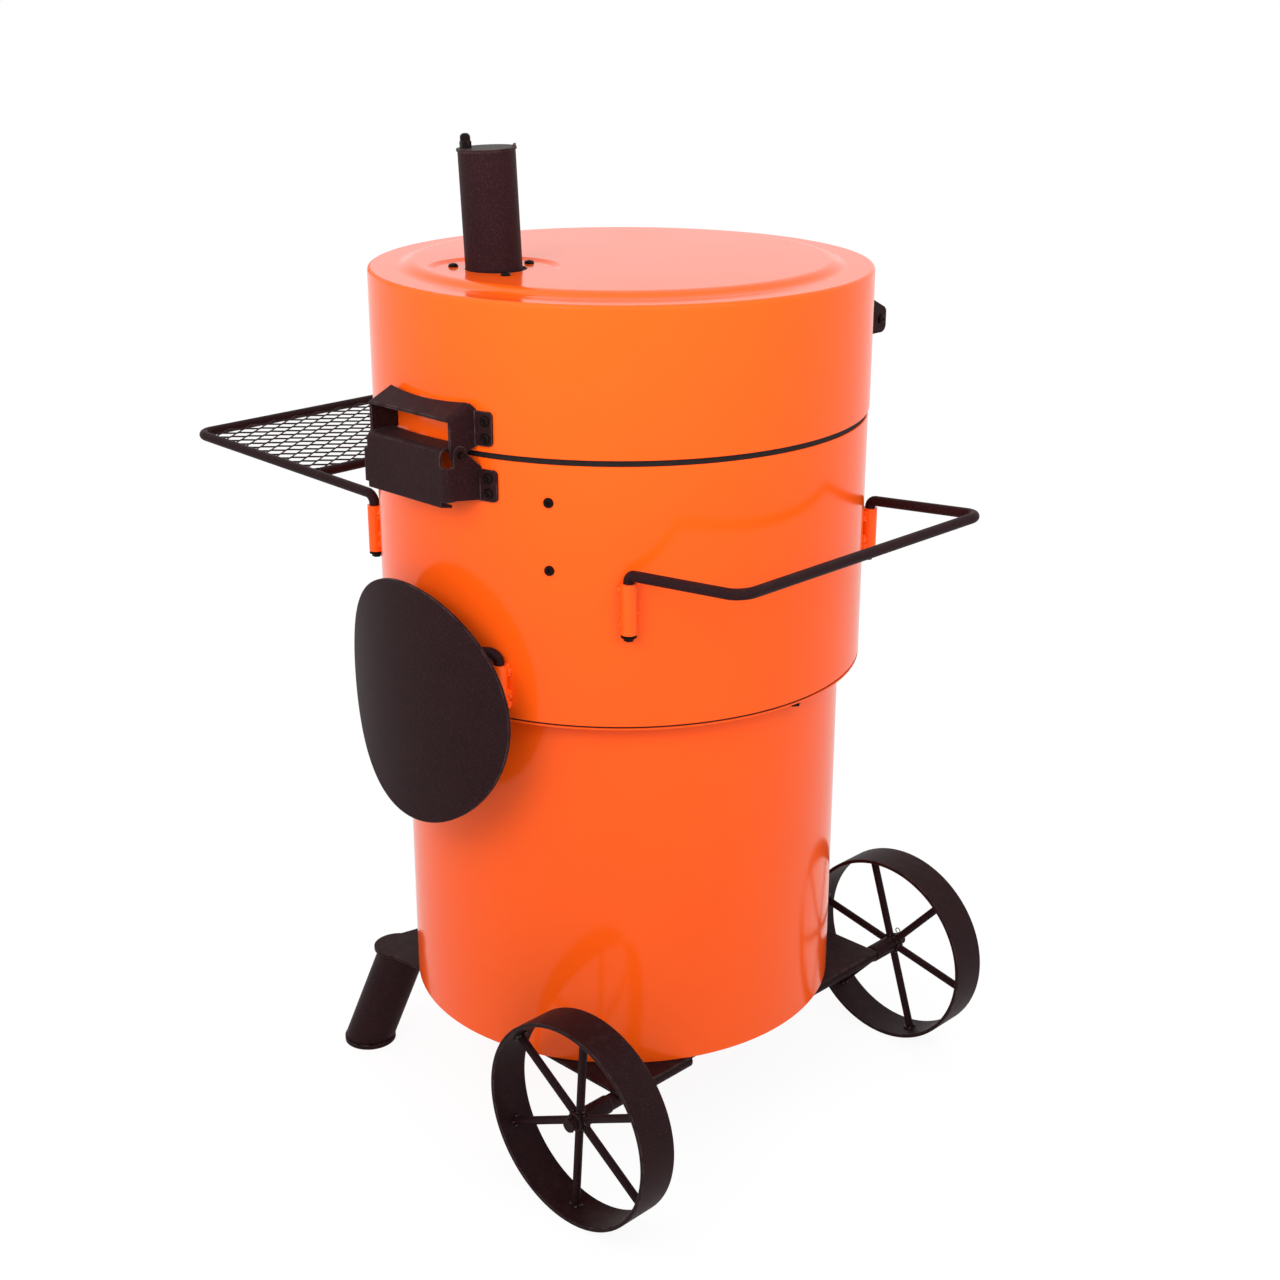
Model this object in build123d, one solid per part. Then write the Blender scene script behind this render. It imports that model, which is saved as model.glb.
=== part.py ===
from build123d import *
import math
import os

os.makedirs("parts", exist_ok=True)

# Drum smoker on two wheels and two feet, in millimetres, +Z up, ground at z = 0.
# The lid handle is on the -Y side, the hinge on +Y, the shelf on +X, the wheels on -X.

# Clearances
SEAT = 0.2
RUN = 0.05
SWING = 0.4

# Drum and lid
UPPER_R = 284.5
STEP_IN = 23.7
LID_OVER = 1.5
SHEET = 2.0
LOWER_H = 431.8
UPPER_H = 287.4
SEAM = 6.7
LID_H = 159.0
LID_EDGE_R = 4.0
LID_SKIRT = 10.0
STEP_SEAL = 2.0
RIM_FLANGE = 16.0
PANEL_INSET = 48.0
PANEL_RISE = 6.5
PANEL_SLOPE = 12.0
PANEL_ROUND = 20.0
DRUM_EDGE_R = 1.2
RIM_EDGE_R = 1.0
AIR_HOLE_R = 12.0
AIR_HOLE_RISE = 75.0
AIR_HOLE_STEP = 14.0
JOIN_BOLT_R = 4.0
JOIN_NUT_R = 7.5
JOIN_NUT_H = 6.5
JOIN_BOLTS = 4

# Wheels, stub axles and axle plate
WHEEL_R = 122.6
WHEEL_W = 48.0
WHEEL_GAP = 23.8
RIM_T = 4.5
AXLE_R = 8.0
STUB_R = 9.4
AXLE_INSET = 44.1
AXLE_OUT = 18.5
AXLE_IN = 175.0
HUB_WALL = 2.6
HUB_IN = 42.0
HUB_OUT = 9.0
SPOKE_R = 4.8
SPOKES = 6
BACK_SPOKE_TURN = -4.0
FRONT_SPOKE_TURN = 18.0
PLATE_T = 3.0
PLATE_INSET = 27.8
PLATE_DEEP = 150.0
PLATE_LIP = 14.0

# Feet
FOOT_ANGLE = 41.35
FOOT_OUT = 75.2
FOOT_LEAN = 21.1
FOOT_R = 30.15
FOOT_WALL = 3.0
FOOT_RISE = 3.4
FOOT_PLATE_T = 4.0
FOOT_PLATE_END = 39.8
FOOT_PLATE_ROOT = 75.0
FOOT_PAD_T = 6.0
FOOT_PAD_LIP = 2.85

# Bent rods, their sockets, the shelf and the push bar
ROD_R = 6.0
TUBE_WALL = 2.55
SOCKET_ANGLE = 43.6
SOCKET_DROP = 121.9
SOCKET_H = 56.0
ROD_TAIL = 2.0
ARM_RISE = 12.5
ARM_LIFT = 10.1
ARM_BEND = 12.0
PUSH_RISE = 8.8
PUSH_BEND = 8.4
BEND_R = 20.0
BAR_OUT = 84.5
SHELF_OUT = 297.0
CROSS_OUT = 45.5
MESH_T = 2.5
MESH_ACROSS = 11
MESH_ALONG = 11
STRAND = 3.5

# Round shield plate
SHIELD_ANGLE = 108.25
SHIELD_SOCKET_RISE = 63.9
SHIELD_SOCKET_H = 50.6
SHIELD_OUT = 43.1
SHIELD_T = 3.0
SHIELD_HALF_W = 136.0
SHIELD_HALF_H = 139.3
SHIELD_RISE = 6.4
SHIELD_TURN_ANGLE = -1.2
SHIELD_ROD_RISE = 13.0
SHIELD_BEND = 12.0
WELD_START_ANGLE = 97.5
WELD_END_ANGLE = 77.0

# Lid hinge, with heights and reaches from the pin
HINGE_OUT = 19.0
HINGE_RISE = 1.5
PIN_R = 4.0
PIN_END = 6.6
BRACKET_T = 3.0
SHEET_BEND = 6.0
EAR_IN = 66.4
EAR_R = 9.0
KNUCKLE_R = 10.0
BOX_OUT = 20.0
BOX_DROP = 54.5
NOTCH_DROP = 12.0
NOTCH_W = 9.4
NOTCH_ROUND = 3.0
LIP_RISE = 6.7
LIP_BEND = 9.0
LIP_GAP = 8.0
BASE_DEEP = 15.0
BASE_GAP = 6.0
BASE_TILT = 3.0
TAB_CORNER = 5.0
LOWER_TAB_DROP = 19.8
LOWER_TAB_H = 34.0
LOWER_TAB_W = 22.0
UPPER_TAB_RISE = 5.7
UPPER_TAB_H = 36.5
UPPER_TAB_W = 19.0
ROOF_OUT = 12.5
ROOF_RISE = 38.1
ROOF_SLOPE = 23.8
ROOF_GAP = 8.5
WALL_BITE = 12.0

# Lid handle
HANDLE_HALF = 105.0
HANDLE_OUT = 72.4
GRIP_IN = 10.4
GRIP_RISE = 61.9
GRIP_R = 12.0
HANDLE_LOW = 16.6
HANDLE_HIGH = 26.8
HANDLE_CUT_W = 28.0
HANDLE_CUT_H = 14.0
HANDLE_CORNER = 9.0
HANDLE_TAB = 22.0

# Chimney
CHIMNEY_X = 44.0
CHIMNEY_Y = 153.1
CHIMNEY_R = 31.3
CHIMNEY_LEAN = 2.3
CHIMNEY_LEAN_ANGLE = 44.4
CHIMNEY_RISE = 126.5
CHIMNEY_GAP = 2.8
HOLE_SHIFT = 2.2
PAD_EDGE = 6.0
PAD_DROP = 2.5
PAD_SLOPE = 8.0
FLANGE_EDGE = 28.0
FLANGE_T = 3.0
CAP_OVER = 1.2
CAP_T = 2.5
CAP_TAB_W = 20.0
CAP_TAB_H = 5.0
PIVOT_R = 3.0
PIVOT_NUT = 6.5
PIVOT_NUT_H = 7.0
PIVOT_DOME = 8.5
DOME_ROUND = 4.5
PIVOT_BOSS = 7.0
PIVOT_BOSS_H = 12.0

# Grates and basket
BRACKET_ANGLE = 119.5
BRACKETS = 3
STRIP_W = 24.0
STRIP_END = 8.0
UPPER_LEDGE_DROP = 54.6
LOWER_LEDGE_DROP = 128.6
LEDGE_BITE = 12.0
GRATE_GAP = 4.5
GRATE_RING = 8.0
GRATE_H = 8.0
GRATE_BAR = 5.0
GRATE_PITCH = 33.0
BASKET_INSET = 70.8
BASKET_H = 190.0
BASKET_LEG = 40.0
HOOP_H = 18.0
HOOP_T = 3.0
BASKET_BARS = 16
BASKET_BAR = 10.0

# Radii and reaches worked out from the sizes above
LID_R = UPPER_R + LID_OVER
LOWER_R = UPPER_R - STEP_IN
PANEL_R = LID_R - PANEL_INSET
JOIN_R = (LOWER_R + UPPER_R) / 2
TUBE_R = ROD_R + RUN + TUBE_WALL
HUB_R = AXLE_R + RUN + HUB_WALL
AXLE_X = AXLE_INSET - LOWER_R
WHEEL_Y = LOWER_R + WHEEL_GAP
PLATE_HALF = LOWER_R - PLATE_INSET
FOOT_REACH = LOWER_R + FOOT_OUT
SOCKET_REACH = UPPER_R + TUBE_R + SEAT
SOCKET_X = SOCKET_REACH * math.cos(math.radians(SOCKET_ANGLE))
SOCKET_Y = SOCKET_REACH * math.sin(math.radians(SOCKET_ANGLE))
BAR_REACH = UPPER_R + BAR_OUT
SHELF_REACH = UPPER_R + SHELF_OUT
CROSS_X = UPPER_R + CROSS_OUT
SHELF_TILT = math.degrees(math.atan2(ARM_LIFT, SHELF_REACH - SOCKET_X))
SHIELD_R = UPPER_R + SHIELD_OUT
HINGE_Y = LID_R + HINGE_OUT
BOX_Y = HINGE_Y + BOX_OUT
PIN_IN = EAR_IN - SWING - 2 * BRACKET_T
PIN_OUT = EAR_IN + BRACKET_T + PIN_END
HANDLE_REACH = LID_R + HANDLE_OUT
GRIP_Y = GRIP_IN - HANDLE_REACH
CHIMNEY_HOLE = CHIMNEY_R + CHIMNEY_GAP
FLANGE_R = CHIMNEY_R + FLANGE_EDGE
PAD_R = FLANGE_R + PAD_EDGE
CAP_R = CHIMNEY_R + CAP_OVER
PIVOT_OFF = CHIMNEY_R - SHEET - PIVOT_BOSS - SEAT
GRATE_R = UPPER_R - RIM_FLANGE - GRATE_GAP
BASKET_R = LOWER_R - BASKET_INSET

# Heights worked out from the sizes above
GROUND_GAP = WHEEL_R + STUB_R + PLATE_T + 2 * SEAT
STEP_Z = GROUND_GAP + LOWER_H
UPPER_TOP = STEP_Z + UPPER_H
LID_Z = UPPER_TOP + SEAM
LID_TOP = LID_Z + LID_H
PANEL_TOP = LID_TOP + PANEL_RISE
PAD_TOP = PANEL_TOP - PAD_DROP
FOOT_TOP = GROUND_GAP + FOOT_RISE
SOCKET_TOP = UPPER_TOP - SOCKET_DROP
ARM_Z = SOCKET_TOP + ARM_RISE
BAR_Z = ARM_Z + ARM_LIFT
PUSH_Z = SOCKET_TOP + PUSH_RISE
SHIELD_Z = STEP_Z + SHIELD_RISE
SHIELD_SOCKET_TOP = STEP_Z + SHIELD_SOCKET_RISE
HINGE_Z = LID_Z + HINGE_RISE
BOX_BOTTOM = HINGE_Z - BOX_DROP
LIP_TOP = HINGE_Z + LIP_RISE
LOWER_TAB_TOP = HINGE_Z - LOWER_TAB_DROP
UPPER_TAB_LOW = HINGE_Z + UPPER_TAB_RISE
GRIP_Z = LID_Z + GRIP_RISE
BASKET_BASE = GROUND_GAP + SHEET + SEAT
LEDGES = (UPPER_TOP - LOWER_LEDGE_DROP, UPPER_TOP - UPPER_LEDGE_DROP)

# The origin is the middle of the box round the whole part, on the ground
ORIGIN_X = (SHELF_REACH - BAR_REACH) / 2
ORIGIN_Y = (SHIELD_R - HANDLE_REACH) / 2

UP = (Align.CENTER, Align.CENTER, Align.MIN)
DOWN = (Align.CENTER, Align.CENTER, Align.MAX)


def save(name, *solids):
    """Moves the solids from the drum axis to the part's origin and writes them as one node."""
    moved = [Pos(-ORIGIN_X, -ORIGIN_Y, 0) * solid for solid in solids]
    shape = moved[0] if len(moved) == 1 else Compound(children=moved)
    export_step(shape, f"parts/{name}.step")


def spun(points):
    """A solid of revolution round the drum axis from (radius, height) points."""
    profile = make_face(Plane.XZ * Polyline(*points, close=True))
    return revolve(profile, Axis.Z)


def tube(outer, inner, height):
    """A round tube standing on z = 0."""
    return Cylinder(outer, height, align=UP) - Cylinder(inner, height, align=UP)


def drum_core(radius, low, high):
    """A plain cylinder on the drum axis, used to trim what seats against the drum."""
    return Pos(0, 0, low) * Cylinder(radius, high - low, align=UP)


def side_plate(points, x):
    """A sheet in the YZ plane from (y, z) points, with its inner face at x, grown outward."""
    face = make_face(Plane.YZ.offset(x) * Polyline(*points, close=True))
    return extrude(face, amount=BRACKET_T, dir=(math.copysign(1, x), 0, 0))


def cross_rod(radius, x0, x1, y, z):
    """A round bar along X."""
    return Pos(x0, y, z) * Rot(0, 90, 0) * Cylinder(radius, x1 - x0, align=UP)


def ear_disc(radius, x):
    """The round end of a hinge sheet whose inner face is at x."""
    start = min(x, x + math.copysign(BRACKET_T, x))
    return cross_rod(radius, start, start + BRACKET_T, HINGE_Y, HINGE_Z)


def wall_tab(radius, start, stop, low, high):
    """A sheet tab rolled onto the drum between two angles from +X."""
    inner = radius + SEAT
    ring = Pos(0, 0, low) * tube(inner + BRACKET_T, inner, high - low)
    reach = 2 * inner
    corners = [(0, 0)]
    for angle in (start, stop):
        corners.append((reach * math.cos(math.radians(angle)), reach * math.sin(math.radians(angle))))
    wedge = extrude(make_face(Polyline(*corners, close=True)), amount=high)
    return ring & wedge


def rod_path(points, radii):
    """Straight runs through the points, with a tangent arc at every inner corner."""
    nodes = [Vector(*p) for p in points]
    edges = []
    last = nodes[0]
    for before, corner, after, radius in zip(nodes, nodes[1:], nodes[2:], radii):
        back = (before - corner).normalized()
        ahead = (after - corner).normalized()
        half = math.acos(max(-1, min(1, back.dot(ahead)))) / 2
        run = radius / math.tan(half)
        middle = (back + ahead).normalized()
        start = corner + back * run
        stop = corner + ahead * run
        bulge = corner + middle * (radius / math.sin(half) - radius)
        edges.append(Edge.make_line(last, start))
        edges.append(Edge.make_three_point_arc(start, bulge, stop))
        last = stop
    edges.append(Edge.make_line(last, nodes[-1]))
    return Wire(edges)


def bent_rod(points, radii, radius=ROD_R):
    """A round rod bent through the points, with a bend radius for each inner corner."""
    path = rod_path(points, radii)
    section = Plane(origin=path @ 0, z_dir=path % 0) * Circle(radius)
    return sweep(section, path=path)


def rim_edges(solid, radius, height):
    """The round edges of a turned solid at a radius and a height."""
    return solid.edges().filter_by(GeomType.CIRCLE).filter_by(
        lambda e: abs(e.radius - radius) < SEAT and abs(e.center().Z - height) < SEAT)


def flange_bolt_holes(low, high):
    """The clearance holes for the bolts that join the two drums."""
    for index in range(JOIN_BOLTS):
        spot = Rot(0, 0, index * 360 / JOIN_BOLTS) * Pos(JOIN_R, 0, low)
        yield spot * Cylinder(JOIN_BOLT_R + SEAT, high - low, align=UP)


def lower_drum():
    """Rolled wall with air holes on the handle side."""
    high = STEP_Z - STEP_SEAL
    drum = Pos(0, 0, GROUND_GAP) * tube(LOWER_R, LOWER_R - SHEET, high - GROUND_GAP)
    drum = fillet(rim_edges(drum, LOWER_R, GROUND_GAP), DRUM_EDGE_R)
    for step in (-1, 0, 1):
        hole = Rot(90, 0, 0) * Cylinder(AIR_HOLE_R, LOWER_R + SHEET, align=UP)
        drum -= Pos(0, 0, GROUND_GAP + AIR_HOLE_RISE) * Rot(0, 0, step * AIR_HOLE_STEP) * hole
    return drum


def step_ring(low, outer):
    """Flat ring of the step, with holes for the bolts that join the two drums."""
    ring = Pos(0, 0, low) * tube(outer, LOWER_R, SHEET)
    for hole in flange_bolt_holes(low - SHEET, low + 2 * SHEET):
        ring -= hole
    return ring


def lower_lip():
    """Ring round the head of the lower drum, as wide as the upper drum."""
    low = STEP_Z - STEP_SEAL - SHEET
    ring = step_ring(low, UPPER_R)
    return fillet(rim_edges(ring, UPPER_R, low), RIM_EDGE_R)


def drum_floor():
    """Disc welded inside the foot of the lower drum."""
    return Pos(0, 0, GROUND_GAP) * Cylinder(LOWER_R - SHEET - SEAT, SHEET, align=UP)


def step_gasket():
    """Flat seal between the two drums, set back from the edge."""
    ring = Pos(0, 0, STEP_Z - STEP_SEAL) * tube(UPPER_R - SHEET, LOWER_R, STEP_SEAL)
    for hole in flange_bolt_holes(STEP_Z - 2 * STEP_SEAL, STEP_Z + STEP_SEAL):
        ring -= hole
    return ring


def upper_drum():
    """Rolled wall with an inward flange at its head."""
    inside = UPPER_R - SHEET
    rim = UPPER_R - RIM_FLANGE
    drum = spun([(UPPER_R, STEP_Z), (UPPER_R, UPPER_TOP), (rim, UPPER_TOP), (rim, UPPER_TOP - SHEET),
                 (inside, UPPER_TOP - SHEET), (inside, STEP_Z)])
    return fillet(rim_edges(drum, UPPER_R, UPPER_TOP) + rim_edges(drum, UPPER_R, STEP_Z), RIM_EDGE_R)


def lid_gasket():
    """Rope seal on the upper drum's rim, just under the lid."""
    outer = UPPER_R - SHEET
    return Pos(0, 0, UPPER_TOP) * tube(outer, UPPER_R - RIM_FLANGE, SEAM - SWING)


def flange_bolts():
    """Bolts at the step, with a nut under the lip and a head above the flange."""
    lip = STEP_Z - STEP_SEAL - SHEET
    nut = extrude(RegularPolygon(JOIN_NUT_R, 6), amount=JOIN_NUT_H)
    bolt = Pos(0, 0, lip - JOIN_NUT_H) * nut + Pos(0, 0, STEP_Z + SHEET) * nut
    bolt += Pos(0, 0, lip - JOIN_NUT_H) * Cylinder(JOIN_BOLT_R, STEP_SEAL + 2 * SHEET + JOIN_NUT_H, align=UP)
    return [Rot(0, 0, k * 360 / JOIN_BOLTS) * Pos(JOIN_R, 0, 0) * bolt for k in range(JOIN_BOLTS)]


def chimney_frame():
    """The leaning frame of the chimney, with local X on the side it leans to."""
    turn = math.radians(CHIMNEY_LEAN_ANGLE)
    out = Vector(math.cos(turn), math.sin(turn), 0)
    lean = math.radians(CHIMNEY_LEAN)
    axis = out * math.sin(lean) + Vector(0, 0, 1) * math.cos(lean)
    side = out * math.cos(lean) - Vector(0, 0, 1) * math.sin(lean)
    return Plane(origin=(CHIMNEY_X, CHIMNEY_Y, PAD_TOP), x_dir=side, z_dir=axis)


def lid_band():
    """Rolled wall of the lid with an inward flange at its foot."""
    inside = LID_R - SHEET
    high = LID_TOP - LID_SKIRT
    foot = LID_Z + SHEET
    flange = LID_R - RIM_FLANGE
    band = spun([(LID_R, LID_Z), (LID_R, high), (inside, high), (inside, foot), (flange, foot),
                 (flange, LID_Z)])
    return fillet(rim_edges(band, LID_R, LID_Z), RIM_EDGE_R)


def lid_top():
    """Pressed top welded to the band, with a raised panel and a sunk pad round the chimney."""
    inside = LID_R - SHEET
    low = LID_TOP - LID_SKIRT
    under = LID_TOP - SHEET
    shoulder = PANEL_R + PANEL_SLOPE
    lid = spun([(LID_R, low), (LID_R, LID_TOP), (shoulder, LID_TOP), (PANEL_R, PANEL_TOP), (0, PANEL_TOP),
                (0, PANEL_TOP - SHEET), (PANEL_R - SHEET, PANEL_TOP - SHEET), (shoulder - SHEET, under),
                (inside, under), (inside, low)])
    lid = fillet(rim_edges(lid, LID_R, LID_TOP), LID_EDGE_R)
    lid = fillet(rim_edges(lid, PANEL_R, PANEL_TOP) + rim_edges(lid, shoulder, LID_TOP), PANEL_ROUND)
    pad = Pos(CHIMNEY_X, CHIMNEY_Y, 0)
    lid += pad * Pos(0, 0, PAD_TOP - SHEET) * Cylinder(PAD_R + PAD_SLOPE, PAD_DROP, align=UP)
    lid -= pad * Pos(0, 0, PAD_TOP) * Cone(PAD_R, PAD_R + PAD_SLOPE, PAD_DROP, align=UP)
    return lid - chimney_frame() * Pos(-HOLE_SHIFT, 0, 0) * Cylinder(CHIMNEY_HOLE, 2 * PAD_R)


def chimney_pipe():
    """Leaning pipe that passes through the lid."""
    below = SHEET + SEAT + FLANGE_T + SHEET
    pipe = Pos(0, 0, -below) * tube(CHIMNEY_R, CHIMNEY_R - SHEET, below + CHIMNEY_RISE)
    return chimney_frame() * pipe


def chimney_flange():
    """Plate under the lid that carries the pipe."""
    plate = Pos(CHIMNEY_X, CHIMNEY_Y, PAD_TOP - SHEET) * Cylinder(FLANGE_R, FLANGE_T, align=DOWN)
    return plate - chimney_frame() * Cylinder(CHIMNEY_R, PAD_R)


def cap_pivot():
    """Boss inside the pipe, bolt, nut and dome nut that the cap turns on."""
    above = CHIMNEY_RISE + SEAT + CAP_T + SEAT
    root = CHIMNEY_RISE - PIVOT_BOSS_H
    boss = Pos(0, 0, root) * Cylinder(PIVOT_BOSS, PIVOT_BOSS_H - SEAT, align=UP)
    stem = Pos(0, 0, root) * Cylinder(PIVOT_R, above - root, align=UP)
    nut = Pos(0, 0, above) * extrude(RegularPolygon(PIVOT_NUT, 6), amount=PIVOT_NUT_H)
    dome_r = PIVOT_NUT * math.cos(math.radians(30))
    dome = Pos(0, 0, above + PIVOT_NUT_H) * Cylinder(dome_r, PIVOT_DOME, align=UP)
    dome = fillet(dome.edges().group_by(Axis.Z)[-1], DOME_ROUND)
    return chimney_frame() * Pos(PIVOT_OFF, 0, 0) * (boss + stem + nut + dome)


def chimney_cap():
    """Flat disc on the pipe with a turned-up finger tab opposite its pivot."""
    disc = Cylinder(CAP_R, CAP_T, align=UP)
    disc += Pos(-CAP_R + CAP_T, 0, 0) * Box(CAP_T, CAP_TAB_W, CAP_TAB_H, align=UP)
    disc -= Pos(PIVOT_OFF, 0, 0) * Cylinder(PIVOT_R + RUN, 2 * CAP_TAB_H)
    return chimney_frame() * Pos(0, 0, CHIMNEY_RISE + SEAT) * disc


def tab_angles(radius, inner, outer, side):
    """The two angles from +X, in rising order, of a tab on the hinge side of the drum."""
    ends = [90 - side * math.degrees(math.asin(x / radius)) for x in (inner, outer)]
    return min(ends), max(ends)


def tab_corners(tab):
    """The two outer corners of a hinge tab."""
    short = tab.edges().filter_by(lambda e: e.length < 2 * BRACKET_T)
    return short.sort_by(lambda e: abs(e.center().X))[-2:]


def hinge_lower_bracket():
    """Box bracket on the upper drum: two ears for the pins, notched front plate, rolled lip."""
    notch = HINGE_Z - NOTCH_DROP
    skirt = BOX_BOTTOM + BASE_GAP
    back = HINGE_Y - HINGE_OUT - WALL_BITE
    outer = EAR_IN + BRACKET_T
    lip_half = outer - NOTCH_W
    face = BOX_Y - BRACKET_T
    tab_low = LOWER_TAB_TOP - LOWER_TAB_H
    on_face = (Align.CENTER, Align.MIN, Align.MIN)
    front = Pos(0, face, skirt) * Box(2 * outer, BRACKET_T, notch - skirt, align=on_face)
    front += Pos(0, face, BOX_BOTTOM) * Box(2 * lip_half, BRACKET_T, BASE_GAP, align=on_face)
    lip = make_face(Plane.YZ * Polyline(
        (face, notch), (BOX_Y, notch), (BOX_Y, LIP_TOP), (LID_R, LIP_TOP), (LID_R, LIP_TOP - BRACKET_T),
        (face, LIP_TOP - BRACKET_T), close=True))
    lip = extrude(lip, amount=lip_half, both=True)
    bend = lip.edges().filter_by(Axis.X).group_by(Axis.Z)[-1].sort_by(Axis.Y)[-1]
    lip = fillet(bend, LIP_BEND) - drum_core(LID_R + LIP_GAP, BOX_BOTTOM, LID_TOP)
    base = make_face(Plane.YZ * Polyline(
        (BOX_Y, BOX_BOTTOM), (BOX_Y, BOX_BOTTOM + BRACKET_T),
        (BOX_Y - BASE_DEEP, BOX_BOTTOM + BRACKET_T - BASE_TILT), (BOX_Y - BASE_DEEP, BOX_BOTTOM - BASE_TILT),
        close=True))
    bracket = front + lip + extrude(base, amount=lip_half, both=True)
    corners = bracket.edges().filter_by(Axis.Y).filter_by(
        lambda e: abs(abs(e.center().X) - lip_half) < SEAT and abs(e.center().Z - notch) < SEAT)
    bracket = fillet(corners, NOTCH_ROUND)
    for side in (1, -1):
        sheet = side_plate([(back, tab_low), (back, LOWER_TAB_TOP), (HINGE_Y - EAR_R, HINGE_Z),
                            (HINGE_Y + EAR_R, HINGE_Z), (HINGE_Y + EAR_R, notch), (BOX_Y, notch),
                            (BOX_Y, skirt), (BOX_Y - BASE_DEEP, skirt)], side * EAR_IN)
        sheet += ear_disc(EAR_R, side * EAR_IN)
        ends = tab_angles(UPPER_R, EAR_IN, EAR_IN + LOWER_TAB_W, side)
        tab = wall_tab(UPPER_R, *ends, tab_low, LOWER_TAB_TOP)
        bracket += sheet + fillet(tab_corners(tab), TAB_CORNER)
    bends = bracket.edges().filter_by(Axis.Z).filter_by(
        lambda e: abs(abs(e.center().X) - outer) < SEAT and abs(e.center().Y - BOX_Y) < SEAT)
    bracket = fillet(bends, SHEET_BEND)
    bracket -= drum_core(UPPER_R + SEAT, BOX_BOTTOM - BASE_DEEP, LIP_TOP)
    return bracket - cross_rod(PIN_R, -PIN_OUT, PIN_OUT, HINGE_Y, HINGE_Z)


def hinge_upper_bracket():
    """Bridge on the lid: sloped roof, two side sheets down to the pins, tabs on the lid wall."""
    inner = EAR_IN - SWING - BRACKET_T
    outer = EAR_IN - SWING
    back = LID_R - WALL_BITE
    front = HINGE_Y + KNUCKLE_R
    eave_y = HINGE_Y + ROOF_OUT
    eave_z = HINGE_Z + ROOF_RISE

    def roof_top(y):
        return eave_z + (eave_y - y) * math.tan(math.radians(ROOF_SLOPE))

    ridge_z = roof_top(back)
    shoulder_z = roof_top(math.sqrt((LID_R + ROOF_GAP) ** 2 - outer ** 2))
    roof = make_face(Plane.YZ * Polyline((eave_y, eave_z), (back, ridge_z), (back, ridge_z - BRACKET_T),
                                         (eave_y, eave_z - BRACKET_T), close=True))
    roof = extrude(roof, amount=outer, both=True)
    bracket = roof - drum_core(LID_R + ROOF_GAP, LID_Z, LID_TOP)
    tab_top = UPPER_TAB_LOW + UPPER_TAB_H
    for side in (1, -1):
        sheet = side_plate([(back, UPPER_TAB_LOW), (back, ridge_z - BRACKET_T / 2),
                            (front, roof_top(front) - BRACKET_T / 2), (front, HINGE_Z),
                            (HINGE_Y - KNUCKLE_R, HINGE_Z)], side * inner)
        sheet += ear_disc(KNUCKLE_R, side * inner)
        ends = tab_angles(LID_R, inner, EAR_IN + UPPER_TAB_W, side)
        tab = wall_tab(LID_R, *ends, UPPER_TAB_LOW, tab_top)
        bracket += sheet + fillet(tab_corners(tab), TAB_CORNER)
    bends = bracket.edges().filter_by(
        lambda e: abs(abs(e.center().X) - outer) < SEAT and abs(e.center().Z - roof_top(e.center().Y)) < SEAT)
    bracket = fillet(bends, SHEET_BEND)
    bracket -= drum_core(LID_R + SEAT, LID_Z - KNUCKLE_R, LID_TOP)
    bracket -= Pos(0, 0, tab_top) * Cone(LID_R, LID_R + ROOF_GAP, shoulder_z - tab_top, align=UP)
    bracket -= drum_core(LID_R + ROOF_GAP, shoulder_z, LID_TOP)
    return bracket - cross_rod(PIN_R + RUN, -PIN_OUT, PIN_OUT, HINGE_Y, HINGE_Z)


def hinge_pins():
    """One short pin through each ear."""
    pins = []
    for start, stop in ((PIN_IN, PIN_OUT), (-PIN_OUT, -PIN_IN)):
        pins.append(cross_rod(PIN_R, start, stop, HINGE_Y, HINGE_Z))
    return pins


def handle_brackets():
    """Two end plates of the lid handle with the upper corner cut, each with a tab on the lid wall."""
    low = GRIP_Z - HANDLE_LOW
    high = GRIP_Z + HANDLE_HIGH
    root = WALL_BITE - math.sqrt(LID_R ** 2 - HANDLE_HALF ** 2)
    plates = []
    for side in (1, -1):
        inner = side * (HANDLE_HALF - BRACKET_T)
        plate = side_plate([(root, low), (-HANDLE_REACH, low), (-HANDLE_REACH, high - HANDLE_CUT_H),
                            (HANDLE_CUT_W - HANDLE_REACH, high), (root, high)], inner)
        ends = plate.edges().filter_by(Axis.X).group_by(Axis.Y)[0]
        plate = fillet(ends, HANDLE_CORNER)
        start = 270 + side * math.degrees(math.asin((HANDLE_HALF - HANDLE_TAB) / LID_R))
        stop = 270 + side * math.degrees(math.asin((HANDLE_HALF - BRACKET_T / 2) / LID_R))
        plate += wall_tab(LID_R, min(start, stop), max(start, stop), low, high)
        plates.append(plate - drum_core(LID_R + SEAT, LID_Z, LID_TOP))
    return plates


def handle_grip():
    """Round grip between the end plates."""
    reach = HANDLE_HALF - BRACKET_T - SEAT
    return cross_rod(GRIP_R, -reach, reach, GRIP_Y, GRIP_Z)


def socket(angle, top, height):
    """A short tube welded upright on the drum wall."""
    stand = Pos(SOCKET_REACH, 0, top - height) * tube(TUBE_R, ROD_R + RUN, height)
    return Rot(0, 0, angle) * stand


def u_rod(side, reach, arm_z, arm_bend, radius=ROD_R):
    """A rod bent as a U whose arms rise a little outward and turn down into the sockets."""
    low = SOCKET_TOP - SOCKET_H - ROD_TAIL
    near = side * SOCKET_X
    far = side * reach
    return bent_rod([(near, SOCKET_Y, low), (near, SOCKET_Y, arm_z), (far, SOCKET_Y, BAR_Z),
                     (far, -SOCKET_Y, BAR_Z), (near, -SOCKET_Y, arm_z), (near, -SOCKET_Y, low)],
                    (arm_bend, BEND_R, BEND_R, arm_bend), radius)


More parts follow.
